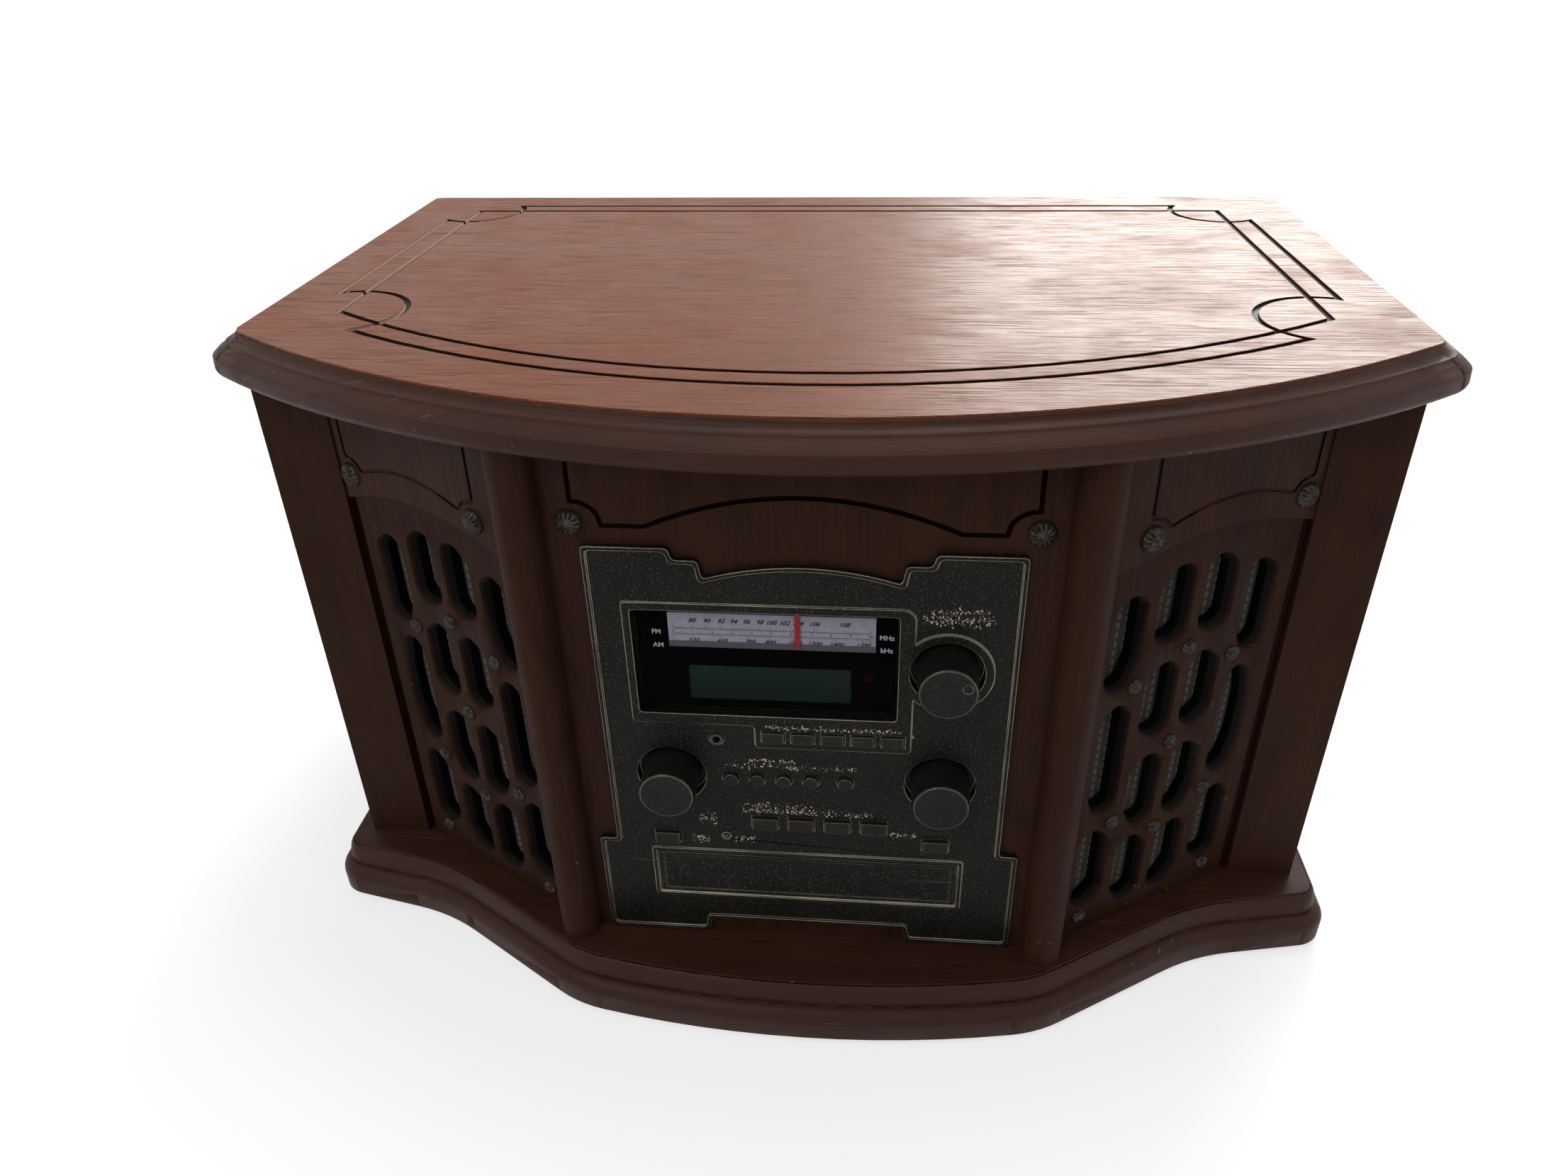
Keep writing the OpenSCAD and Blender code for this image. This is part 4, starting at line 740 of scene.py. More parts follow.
@dataclass
class Workshop:
    """What every sub-assembly needs: the frame, the finishes and the bodies of the nodes."""

    frame: dict
    materials: dict[str, bpy.types.Material] = field(default_factory=dict)
    bodies: dict[str, str] = field(default_factory=dict)
    slots: dict[str, str] = field(default_factory=dict)

    def __post_init__(self) -> None:
        """Reads each node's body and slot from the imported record."""
        record = self.frame["record"]
        for body, nodes in record["behaviour"]["bodies"].items():
            for node in nodes:
                self.bodies[node] = body
        for part in record["subparts"]:
            self.slots[part["node"]] = part["material_slot"]

    def mount(self, piece: bpy.types.Object, body: str, slot: str, finish: str = "") -> None:
        """Gives a piece its finish, the slot's own unless another is named, and lets it ride.

        Args:
            piece: the new piece.
            body: the body that it moves with.
            slot: the record's material slot.
            finish: another finish's name, where the piece doesn't use the slot's own.
        """
        piece.data.materials.clear()
        piece.data.materials.append(self.materials[finish or slot])
        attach(piece, body)
        LOG.info("made %s on %s", piece.name, body)

    def paint_nodes(self) -> None:
        """Gives every CAD node the finish of its slot."""
        for name, node in self.frame["nodes"].items():
            node.data.materials.clear()
            node.data.materials.append(self.materials[self.slots[name]])

    @staticmethod
    def volume(piece: bpy.types.Object) -> float:
        """Measures a closed piece.

        Args:
            piece: the piece.

        Returns:
            Its volume in cubic metres.
        """
        mesh = bmesh.new()
        mesh.from_mesh(piece.data)
        volume = mesh.calc_volume()
        mesh.free()
        return volume

    def soften(self, node: str, width: float, segments: int = 2, angle: float = 40.0,
               rim: str = "", hollow: str = "", finish: str = "",
               sunk: Callable[[Vector, Vector], bool] | None = None) -> bpy.types.Object:
        """Rounds a CAD node's edges on a merged copy that takes its place.

        Args:
            node: the CAD node.
            width: how wide the rounding is, in metres, or 0 for none.
            segments: how many faces it has across.
            angle: the least angle of an edge that is rounded, in degrees.
            rim: the finish of the rounded edges, where it is another one, which paints their
                highlight.
            hollow: the finish of the faces that sunk picks, which paints shade into them.
            finish: the piece's own finish, where it isn't the slot's.
            sunk: tells from a face's centre and normal whether it lies in a groove.

        Returns:
            The new piece.
        """
        piece = Bench.copy(self.frame["nodes"][node], node + "_finish")
        for key in [key for key in piece.keys() if key.startswith("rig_")]:
            del piece[key]
        piece.data.materials.clear()
        for _ in range(2):
            piece.data.materials.append(self.materials[self.slots[node]])
        Bench.edit(piece, bpy.ops.mesh.remove_doubles, threshold=WELD)
        before = self.volume(piece)
        if width:
            Bench.modify(piece, "BEVEL", width=width, segments=segments, limit_method="ANGLE",
                         angle_limit=math.radians(angle), use_clamp_overlap=False,
                         harden_normals=False, miter_outer="MITER_ARC", material=1 if rim else -1)
        LOG.info("rounded %s: %.2f%% of its volume", node, 100 * self.volume(piece) / before)
        Bench.smooth(piece, 32.0)
        Bench.modify(piece, "WEIGHTED_NORMAL", mode="FACE_AREA", weight=60, keep_sharp=True)
        marked = [face.index for face in piece.data.polygons if face.material_index == 1]
        self.mount(piece, self.bodies[node], self.slots[node], finish)
        if rim or hollow:
            piece.data.materials.append(self.materials[rim or hollow])
        for index in marked if rim else ():
            piece.data.polygons[index].material_index = 1
        for face in piece.data.polygons if hollow and sunk else ():
            if sunk(face.center, face.normal):
                face.material_index = 1
        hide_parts(node)
        return piece


@dataclass
class Woodwork:
    """The cabinet's boards, posts, grilles and mouldings, and the lid."""

    shop: Workshop
    arris: float = 0.6 * MM
    fine_arris: float = 0.3 * MM
    valance_low: float = 0.243
    valance_span: Flat = (0.127, 0.216)
    valance_back: float = -0.083
    board_slot: Flat = (0.35 * MM, 2.6 * MM)
    board_slot_half: float = 0.0945
    board_slot_low: float = 0.262
    lid_slot: Flat = (0.3 * MM, 3.0 * MM)
    lid_half: float = 0.240
    lid_back: float = 0.165
    lid_border: float = 20 * MM
    dusty_left_of: float = -0.13

    def build(self) -> None:
        """Rounds the edges of the wooden pieces that show; paints shade in their grooves, and a
        highlight on the lid's left ones.
        """
        for node in ("side_panels", "base_board", "lid_frame", "rear_panel"):
            self.shop.soften(node, self.arris)
        for node in ("base_moulding", "lid_moulding"):
            self.shop.soften(node, 0.0)
        self.shop.soften("grille_panels", 0.0, finish="grille_wood")
        # Painted shade: the valance's edge faces and the front board's grooves take a dark finish.
        self.shop.soften("front_posts", 0.0, hollow="groove_shade", sunk=self.in_valance)
        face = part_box("front_board")[0].y
        self.shop.soften("front_board", self.fine_arris, hollow="groove_shade",
                         sunk=lambda at, _: self.board_slot[0] < at.y - face < self.board_slot[1]
                         and abs(at.x) < self.board_slot_half and at.z > self.board_slot_low)
        # Painted shade: the faces in the lid's grooves take a dark finish.
        top, bow_y, bow_r = self.lid_bow()
        panel = self.shop.soften("lid_panel", self.fine_arris, hollow="lid_recess_shade",
                                 sunk=lambda at, _: self.lid_slot[0] < top - at.z < self.lid_slot[1]
                                 and abs(at.x) < self.lid_half and at.y < self.lid_back
                                 and math.hypot(at.x, at.y - bow_y) < bow_r)
        # Painted highlight: the lid's groove walls on the left that face +X take a pale finish for
        # the glare that they catch.
        panel.data.materials.append(self.shop.materials["lid_wall_highlight"])
        for wall in panel.data.polygons:
            if (wall.material_index == 1 and wall.center.x < self.dusty_left_of
                    and wall.normal.x > 0.3):
                wall.material_index = 2

    def in_valance(self, at: Vector, way: Vector) -> bool:
        """Tells whether a face of the front posts is an edge of the valance between them.

        Args:
            at: the face's centre.
            way: its normal.

        Returns:
            Whether it lies in the valance and stands square to the wing's own plane.
        """
        side = math.copysign(1.0, at.x)
        front = Vector((side * math.sin(WING_TURN), -math.cos(WING_TURN), 0.0))
        return (at.z > self.valance_low and at.y < self.valance_back
                and self.valance_span[0] < abs(at.x) < self.valance_span[1]
                and abs(way.z) < 0.98 and abs(front.dot(way)) < 0.7)

    def lid_bow(self) -> tuple[float, float, float]:
        """Finds the bowed line that the lid's front groove follows.

        Returns:
            The lid's top, and the line's middle, front to back, and its radius.
        """
        low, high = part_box("lid_panel")
        corner_y = max(v.co.y for v in self.shop.frame["nodes"]["lid_panel"].data.vertices
                       if abs(v.co.x) > high.x - 0.1 * MM and v.co.y < 0)
        side, depth = high.x, corner_y - low.y
        radius = (side * side + depth * depth) / (2 * depth)
        return high.z, low.y + radius, radius - self.lid_border


@dataclass
class GrilleCloth:
    """The two stretched cloths behind the grilles."""

    shop: Workshop
    cells: int = 14
    thick: float = 0.5 * MM
    gap: float = 0.2 * MM

    def build(self) -> None:
        """Makes each cloth as a thin flat sheet."""
        low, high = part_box("grille_cloths")
        for side, name in ((-1, "grille_cloth_left"), (1, "grille_cloth_right")):
            self.sheet(side, name, low, high)

    def sheet(self, side: int, name: str, low: Vector, high: Vector) -> None:
        """Makes one cloth in the place of its CAD solid.

        Args:
            side: -1 for the left cloth and 1 for the right one.
            name: the piece's name.
            low: the cloths' lowest corner.
            high: their highest corner.
        """
        verts = [v.co for v in self.shop.frame["nodes"]["grille_cloths"].data.vertices
                 if v.co.x * side > 0]
        inner = min(verts, key=lambda v: abs(v.x))
        outer = max(verts, key=lambda v: abs(v.x))
        run = Vector((outer.x - inner.x, outer.y - inner.y, 0.0))
        wide, tall = run.length - self.gap, high.z - low.z
        bpy.ops.mesh.primitive_grid_add(x_subdivisions=self.cells, y_subdivisions=self.cells * 2,
                                        size=1.0, location=(0, 0, 0))
        cloth = bpy.context.object
        cloth.name = name
        cloth.scale = (wide, tall, 1.0)
        cloth.rotation_euler = (math.radians(90), 0.0, math.atan2(run.y, run.x))
        middle = (inner + outer) / 2
        cloth.location = (middle.x, middle.y, (low.z + high.z) / 2)
        Bench.settle(cloth)
        Bench.edit(cloth, bpy.ops.mesh.normals_make_consistent, inside=False)
        if cloth.data.polygons[0].normal.y > 0:
            cloth.data.flip_normals()
        Bench.modify(cloth, "SOLIDIFY", thickness=self.thick, offset=0.0)
        Bench.smooth(cloth)
        self.shop.mount(cloth, "cabinet", "grille_cloth", name)
        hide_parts("grille_cloths")


@dataclass
class Rosettes:
    """Domed pewter studs with petals, each on its own place on the front."""

    shop: Workshop
    petals: int = 12
    rings: int = 9
    small: float = 8 * MM
    big: float = 12 * MM
    dome: float = 0.62
    button: float = 0.3
    collar: float = 0.4
    groove: float = 0.34
    scallop: float = 0.05

    def model(self, across: float, name: str) -> bpy.types.Object:
        """Models one rosette that stands out of the plane y = 0 towards -Y.

        Args:
            across: its diameter, in metres.
            name: its name.

        Returns:
            The rosette at the origin.
        """
        radius = across / 2
        bpy.ops.mesh.primitive_uv_sphere_add(segments=self.petals * 4, ring_count=self.rings * 2,
                                             radius=radius, rotation=(math.radians(90), 0, 0))
        stud = Bench.settle(bpy.context.object)
        stud.name = name
        Bench.edit(stud, bpy.ops.mesh.bisect, plane_co=(0, 0, 0), plane_no=(0, 1, 0),
                   clear_outer=True, use_fill=True)
        for vertex in stud.data.vertices:
            x, y, z = vertex.co
            out = math.hypot(x, z) / radius
            turn = math.atan2(z, x)
            between = (1 - abs(math.cos(turn * self.petals / 2))) ** 2
            valley = 1.0 - self.groove * between * min(1.0, max(0.0, (out - 0.28) * 4))
            height = -y * self.dome * valley
            if out < self.button:
                height = radius * (self.dome
                                   + 0.10 * math.cos(out / self.button * math.pi / 2))
            elif out < self.collar:
                height *= 0.86
            edge = 1.0 - self.scallop * between * out
            vertex.co = (x * edge, -height if y < -1e-6 else 0.0, z * edge)
        Bench.smooth(stud, 60.0)
        return stud

    def build(self) -> None:
        """Puts a rosette over each of the CAD studs and joins them."""
        node = self.shop.frame["nodes"]["rosette_studs"]
        small, big = self.model(self.small, "rosette_small"), self.model(self.big, "rosette_big")
        between = (self.small + self.big) / 2
        made = []
        for index, (centre, normal, across) in enumerate(self.islands(node)):
            twin = Bench.copy(big if across > between else small, f"rosette_{index}")
            turn = math.atan2(normal.x, -normal.y)
            twin.data.transform(Matrix.Translation(centre) @ Matrix.Rotation(turn, 4, "Z")
                                @ Matrix.Rotation(0.5 * index, 4, "Y"))
            made.append(twin)
        for spare in (small, big):
            bpy.data.objects.remove(spare)
        studs = Bench.join("rosettes", made)
        self.shop.mount(studs, "cabinet", "pewter")
        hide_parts("rosette_studs")

    @staticmethod
    def islands(node: bpy.types.Object) -> list[tuple[Vector, Vector, float]]:
        """Finds each stud of the CAD node.

        Args:
            node: the CAD node, whose studs are separate solids.

        Returns:
            For each stud its base centre, the way that it faces, and its diameter.
        """
        mesh = bmesh.new()
        mesh.from_mesh(node.data)
        bmesh.ops.remove_doubles(mesh, verts=mesh.verts, dist=1e-6)
        seen: set[int] = set()
        found = []
        mesh.faces.ensure_lookup_table()
        for face in mesh.faces:
            if face.index in seen:
                continue
            island, stack = [], [face]
            seen.add(face.index)
            while stack:
                item = stack.pop()
                island.append(item)
                for edge in item.edges:
                    for other in edge.link_faces:
                        if other.index not in seen:
                            seen.add(other.index)
                            stack.append(other)
            base = max(island, key=lambda f: sum(g.calc_area() for g in island
                                                 if g.normal.dot(f.normal) > 0.9999))
            flat = [f for f in island if f.normal.dot(base.normal) > 0.9999]
            points = [v.co for f in flat for v in f.verts]
            low = Vector(min(p[i] for p in points) for i in range(3))
            high = Vector(max(p[i] for p in points) for i in range(3))
            found.append(((low + high) / 2, -base.normal.copy(), high.z - low.z))
        mesh.free()
        return sorted(found, key=lambda item: (round(item[0].x, 5), round(item[0].z, 5)))


@dataclass
class DialPrint:
    """Numbers, lines and marks printed on the tuning dial and beside it.

    Its planes are in metres, and its other places and sizes in millimetres.
    """

    shop: Workshop
    face_y: float = -0.13915
    window_y: float = -0.14325
    start_x: float = -55.8
    fm: dict[str, float] = field(default_factory=lambda: {
        "88": -47.7, "90": -41.3, "92": -35.2, "94": -29.8, "96": -24.3, "98": -18.6,
        "100": -13.8, "102": -8.1, "104": -2.3, "106": 4.7, "108": 17.3})
    am: dict[str, float] = field(default_factory=lambda: {
        "530": -47.4, "600": -35.1, "700": -23.1, "800": -14.4, "1000": -4.0, "1200": 4.7,
        "1400": 14.0, "1700": 25.3})
    end_x: float = 28.8
    fm_line: float = 213.5
    am_line: float = 211.0
    fm_row: float = 217.7
    am_row: float = 207.6
    log_row: float = 212.25
    bands: tuple[tuple[str, float, float], ...] = (
        ("FM", -62.4, 214.2), ("AM", -61.9, 207.4), ("MHz", 35.6, 214.6), ("kHz", 35.6, 208.2))
    line_tall: float = 0.14
    long_tick: Flat = (0.16, 1.7)
    short_tick: Flat = (0.13, 0.9)
    tick_pitch: float = 1.15
    slant: float = 0.42
    stroke: float = 0.05
    digit_to_size: float = 1.42

    def word(self, text: str, x: float, z: float, size: float, y: float,
             slant: float = 0.0, bold: float = 0.0) -> bpy.types.Object:
        """Sets one word or number as a flat mesh that faces the front.

        Args:
            text: what it says.
            x: its middle, in millimetres.
            z: its middle's height, in millimetres.
            size: the height of its digits, in millimetres.
            y: the plane that it lies in, in metres.
            slant: how far it leans.
            bold: how much its strokes are thickened.

        Returns:
            The mesh.
        """
        Bench.clear()
        bpy.ops.object.text_add(location=(x * MM, y, z * MM), rotation=(math.radians(90), 0, 0))
        item = bpy.context.object
        curve = item.data
        curve.body, curve.size = text, size * self.digit_to_size * MM
        curve.align_x, curve.align_y = "CENTER", "CENTER"
        curve.shear, curve.offset, curve.resolution_u = slant, bold * MM, 3
        bpy.ops.object.convert(target="MESH")
        return Bench.settle(bpy.context.object)

    def bar(self, x: float, z: float, wide: float, tall: float, y: float) -> bpy.types.Object:
        """Makes one printed line or tick as a flat strip that faces the front.

        Args:
            x: its middle, in millimetres.
            z: its middle's height, in millimetres.
            wide: its width, in millimetres.
            tall: its height, in millimetres.
            y: the plane that it lies in, in metres.

        Returns:
            The strip.
        """
        Bench.clear()
        bpy.ops.mesh.primitive_plane_add(size=MM, location=(x * MM, y, z * MM),
                                         rotation=(math.radians(90), 0, 0))
        item = bpy.context.object
        item.scale = (wide, tall, 1.0)
        return Bench.settle(item)

    def ticks(self, line: float, places: Sequence[float], way: int) -> list[bpy.types.Object]:
        """Makes one scale's line with long ticks at its places and short ones between them.

        Args:
            line: the line's height, in millimetres.
            places: the long ticks, from left to right.
            way: 1 for ticks that stand up and -1 for ticks that hang down.

        Returns:
            The strips.
        """
        y = self.face_y
        marks = [self.bar((self.start_x + self.end_x) / 2, line, self.end_x - self.start_x,
                          self.line_tall, y)]
        for left, right in zip(places, places[1:] + places[-1:]):
            marks.append(self.bar(left, line + way * self.long_tick[1] / 2, *self.long_tick, y))
            parts = round((right - left) / self.tick_pitch)
            for k in range(1, parts):
                x = left + (right - left) * k / parts
                marks.append(self.bar(x, line + way * self.short_tick[1] / 2,
                                      *self.short_tick, y))
        return marks

    def build(self) -> None:
        """Prints the dial and the band names."""
        y, black = self.face_y, []
        for scale, row, size in ((self.fm, self.fm_row, 2.15), (self.am, self.am_row, 2.1)):
            black += [self.word(text, x, row, size, y, self.slant, self.stroke)
                      for text, x in scale.items()]
        step = (self.end_x - self.start_x) / 10
        black += [self.word(str(i), self.start_x + step * i, self.log_row, 1.15, y)
                  for i in range(11)]
        for scale, line, way in ((self.fm, self.fm_line, 1), (self.am, self.am_line, -1)):
            black += self.ticks(line, [self.start_x, *scale.values(), self.end_x], way)
        self.shop.mount(Bench.join("dial_numbers", black), "cabinet", "dial_print", "print_black")
        pale = [self.word(text, x, z, 2.3, self.window_y, 0.0, 0.06)
                for text, x, z in self.bands]
        self.shop.mount(Bench.join("band_names", pale), "cabinet", "window_gloss", "print_pale")
        shade = self.bar(-13.6, 205.75, 88.8, 3.0, self.face_y - 0.02 * MM)
        shade.name = "dial_shade"
        self.shop.mount(shade, "cabinet", "dial_print", "dial_shade")


@dataclass
class FadedPrint:
    """Flakes of white print left on the fascia, with no letter among them."""

    shop: Workshop
    face_y: float = -0.14388
    low_y: float = -0.14306
    seed: int = 7
    fine_share: float = 0.72
    fine: Flat = (0.06, 0.2)
    coarse: Flat = (0.22, 0.52)
    upright: float = 1.5
    zones: tuple[tuple[float, float, float, float, int, bool], ...] = (
        (52.0, 77.0, 227.2, 229.6, 34, False), (50.0, 80.0, 222.6, 226.0, 70, False),
        (-17.0, 43.0, 164.2, 166.2, 96, True), (42.0, 49.0, 160.5, 163.5, 16, False),
        (-36.0, 24.0, 140.6, 143.4, 62, False), (-26.0, -4.0, 144.4, 146.0, 26, False),
        (-30.0, 32.0, 113.4, 116.4, 96, False), (-28.0, 4.0, 117.0, 119.6, 34, False),
        (-54.0, -46.0, 93.4, 97.2, 24, False), (-34.0, -24.0, 95.0, 98.0, 24, False),
        (-50.0, -42.0, 105.0, 112.0, 18, False), (40.0, 52.0, 102.5, 105.0, 16, False))

    def build(self) -> None:
        """Scatters the flakes in bands above the buttons and joins them."""
        dice = random.Random(self.seed)
        mesh = bmesh.new()
        for x0, x1, z0, z1, count, raised in self.zones:
            y = self.face_y if raised else self.low_y
            for _ in range(count * 3):
                x, z = dice.uniform(x0, x1), dice.gauss((z0 + z1) / 2, (z1 - z0) / 3)
                size = dice.uniform(*(self.fine if dice.random() < self.fine_share
                                      else self.coarse))
                sides = dice.randint(5, 7)
                ring = []
                for k in range(sides):
                    turn = -2 * math.pi * k / sides
                    reach = size * dice.uniform(0.45, 1.0)
                    ring.append(mesh.verts.new(((x + reach * math.cos(turn)) * MM, y,
                                                (z + self.upright * reach * math.sin(turn))
                                                * MM)))
                mesh.faces.new(ring)
        data = bpy.data.meshes.new("faded_print")
        mesh.to_mesh(data)
        mesh.free()
        flakes = bpy.data.objects.new("faded_print", data)
        bpy.context.scene.collection.objects.link(flakes)
        if data.polygons[0].normal.y > 0:
            data.flip_normals()
        self.shop.mount(flakes, "cabinet", "fascia_plastic", "print_flake")


@dataclass
class Controls:
    """Fascia, knobs, buttons and drawer door with their edges rounded."""

    shop: Workshop
    cap: float = 0.4 * MM
    eye_place: Point = (27.8 * MM, -0.1381, 189.8 * MM)
    eye_radius: float = 2.2 * MM
    ring_place: Point = (-0.0377, -0.14306, 0.0981)
    ring_radius: float = 2.1 * MM
    ring_wire: float = 0.3 * MM

    def build(self) -> None:
        """Rounds the fascia and everything that works on it."""
        # The rounded edges take a lighter metal: on the fascia wear and a painted highlight, on the
        # door, knobs and buttons a painted highlight.
        self.shop.soften("fascia", 0.35 * MM, 2, 30.0, "rim_wear_and_highlight")
        self.shop.soften("cd_tray_front", 0.2 * MM, 2, 40.0, "knob_edge_highlight")
        self.shop.soften("dial_window", 0.3 * MM, 2)
        for node in ("tuning_knob", "volume_knob", "level_knob"):
            self.shop.soften(node, 0.5 * MM, 4, 35.0, "knob_edge_highlight")
        for node in self.shop.frame["nodes"]:
            if "button" in node:
                self.shop.soften(node, self.cap, 3, 40.0, "knob_edge_highlight")
        self.shop.mount(self.eye(), "cabinet", "display_dark", "sensor_red")
        self.shop.mount(self.ring(), "cabinet", "fascia_plastic", "rim_wear_and_highlight")

    def ring(self) -> bpy.types.Object:
        """Makes the ring around the lower lamp, in the fascia rims' finish of wear and painted
        highlight.

        Returns:
            The ring.
        """
        Bench.clear()
        bpy.ops.mesh.primitive_torus_add(major_segments=32, minor_segments=8,
                                         major_radius=self.ring_radius,
                                         minor_radius=self.ring_wire, location=self.ring_place,
                                         rotation=(math.radians(90), 0, 0))
        ring = bpy.context.object
        ring.name = "lamp_ring"
        Bench.settle(ring)
        Bench.smooth(ring)
        return ring

    def eye(self) -> bpy.types.Object:
        """Makes the small dark lens that lies behind the window.

        Returns:
            The lens.
        """
        Bench.clear()
        bpy.ops.mesh.primitive_uv_sphere_add(segments=24, ring_count=12, radius=self.eye_radius,
                                             location=self.eye_place)
        lens = bpy.context.object
        lens.name = "remote_eye"
        lens.scale = (1.0, 0.25, 1.0)
        Bench.settle(lens)
        Bench.smooth(lens)
        return lens


@dataclass
class Deck:
    """The record deck under the lid."""

    shop: Workshop

    def build(self) -> None:
        """Rounds the deck's pieces."""
        for node, width in (("platter", 0.6 * MM), ("platter_mat", 0.3 * MM),
                            ("tonearm_base", 0.5 * MM), ("tonearm", 0.3 * MM),
                            ("speed_selector", 0.5 * MM), ("cd_tray", 0.5 * MM),
                            ("cue_lever", 0.3 * MM), ("deck_plate", 0.6 * MM)):
            self.shop.soften(node, width)


@dataclass
class Studio:
    """Camera, lights, world and floor."""

    eye: Point = (0.03473, -0.53737, 0.47995)
    pitch: float = math.radians(31.42)
    yaw: float = math.radians(6.07)
    roll: float = math.radians(1.46)
    lens: float = 25.97
    surround: float = 0.33
    sky: tuple[float, float, float, float] = (0.95, 0.97, 1.0, 1.0)
    floor_grey: float = 0.55
    floor_fade: Flat = (0.45, 1.6)
    floor_glow: Flat = (0.62, 1.0)
    lamps: tuple[tuple[str, Point, Point, Flat, float, Colour], ...] = (
        ("window", (0.52, 2.0, 1.03), (0.1, 0.0, 0.3), (0.74, 0.82), 21.0, (1.0, 0.98, 0.93)),
        ("second_window", (1.21, 2.0, 1.05), (0.2, 0.0, 0.3), (0.62, 0.85), 17.0,
         (1.0, 0.98, 0.93)),
        ("key", (0.2, 0.4, 1.7), (0.0, 0.0, 0.3), (0.9, 0.9), 14.0, (1.0, 0.97, 0.93)),
        ("front", (-0.8, -1.4, 1.6), (0.0, -0.1, 0.2), (1.2, 1.2), 12.0, (1.0, 1.0, 1.0)),
        ("side", (1.6, -0.5, 0.9), (0.0, 0.0, 0.2), (1.0, 1.0), 2.0, (1.0, 1.0, 1.0)))

    def camera(self) -> None:
        """Puts the camera where the photograph was taken from."""
        data = bpy.data.cameras.new("camera")
        data.sensor_width, data.lens = 36.0, self.lens
        camera = bpy.data.objects.new("camera", data)
        bpy.context.scene.collection.objects.link(camera)
        bpy.context.scene.camera = camera
        across = Vector((math.cos(self.yaw), math.sin(self.yaw), 0.0))
        ahead = Vector((-math.sin(self.yaw), math.cos(self.yaw), 0.0))
        rise = math.sin(self.pitch) * ahead + Vector((0, 0, math.cos(self.pitch)))
        forward = math.cos(self.pitch) * ahead - Vector((0, 0, math.sin(self.pitch)))
        right = math.cos(self.roll) * across - math.sin(self.roll) * rise
        up = math.sin(self.roll) * across + math.cos(self.roll) * rise
        turn = Matrix((right, up, -forward)).transposed().to_4x4()
        camera.matrix_world = Matrix.Translation(Vector(self.eye)) @ turn

    @staticmethod
    def lamp(name: str, place: Point, aim: Point, size: Flat, power: float,
             tint: Colour) -> None:
        """Adds a rectangular area lamp.

        Args:
            name: its name.
            place: where it is.
            aim: what it points at.
            size: its width and its height, in metres.
            power: its power, in watts.
            tint: its colour.
        """
        data = bpy.data.lights.new(name, "AREA")
        data.shape, data.energy, data.color = "RECTANGLE", power, tint
        data.size, data.size_y = size
        lamp = bpy.data.objects.new(name, data)
        bpy.context.scene.collection.objects.link(lamp)
        lamp.location = place
        lamp.rotation_mode = "QUATERNION"
        lamp.rotation_quaternion = (Vector(aim) - Vector(place)).to_track_quat("-Z", "Y")

    @staticmethod
    def shown(g: Graph) -> bpy.types.NodeSocket:
        """Tells the rays that see the background from the rays that light the object.

        Args:
            g: the graph to add to.

        Returns:
            A socket that is 1 for camera, glossy and transmission rays.
        """
        path = g.add("LightPath")
        seen = g.math("MAXIMUM", path.outputs["Is Camera Ray"], path.outputs["Is Glossy Ray"])
        return g.math("MAXIMUM", seen, path.outputs["Is Transmission Ray"])

    def world(self) -> None:
        """Lights the scene evenly, with a white ground that the camera, metal and glass see."""
        world = bpy.data.worlds.new("studio")
        bpy.context.scene.world = world
        world.use_nodes = True
        g = Graph(world.node_tree)
        world.node_tree.nodes.clear()
        seen = self.shown(g)
        soft = g.add("Background", {"Color": self.sky, "Strength": self.surround})
        white = g.add("Background", {"Color": (1.0, 1.0, 1.0, 1.0), "Strength": 1.0})
        mixed = g.add("MixShader", {0: seen, 1: soft.outputs[0], 2: white.outputs[0]})
        out = world.node_tree.nodes.new("ShaderNodeOutputWorld")
        g.feed(out, {"Surface": mixed.outputs[0]})

    def floor(self) -> None:
        """Lays a white floor that keeps the object's shadow."""
        Bench.clear()
        bpy.ops.mesh.primitive_plane_add(size=60.0, location=(0, 0, -0.0002))
        floor = bpy.context.object
        floor.name = "floor"
        material = bpy.data.materials.new("floor_white")
        material.use_nodes = True
        g = Graph(material.node_tree)
        shader = material.node_tree.nodes["Principled BSDF"]
        reach = g.add("VectorMath", {0: g.add("TexCoord").outputs["Object"]}, operation="LENGTH")
        glow = g.ramp(reach.outputs["Value"], *self.floor_fade, *self.floor_glow)
        grey = self.floor_grey
        g.feed(shader, {"Base Color": (grey, grey, grey, 1.0), "Roughness": 1.0,
                        "Specular IOR Level": 0.0, "Emission Color": (1.0, 1.0, 1.0, 1.0),
                        "Emission Strength": g.math("MULTIPLY", glow, self.shown(g))})
        floor.data.materials.append(material)

    def build(self) -> None:
        """Sets the whole studio."""
        scene = bpy.context.scene
        scene.view_settings.view_transform = "Standard"
        self.camera()
        self.world()
        self.floor()
        for lamp in self.lamps:
            self.lamp(*lamp)


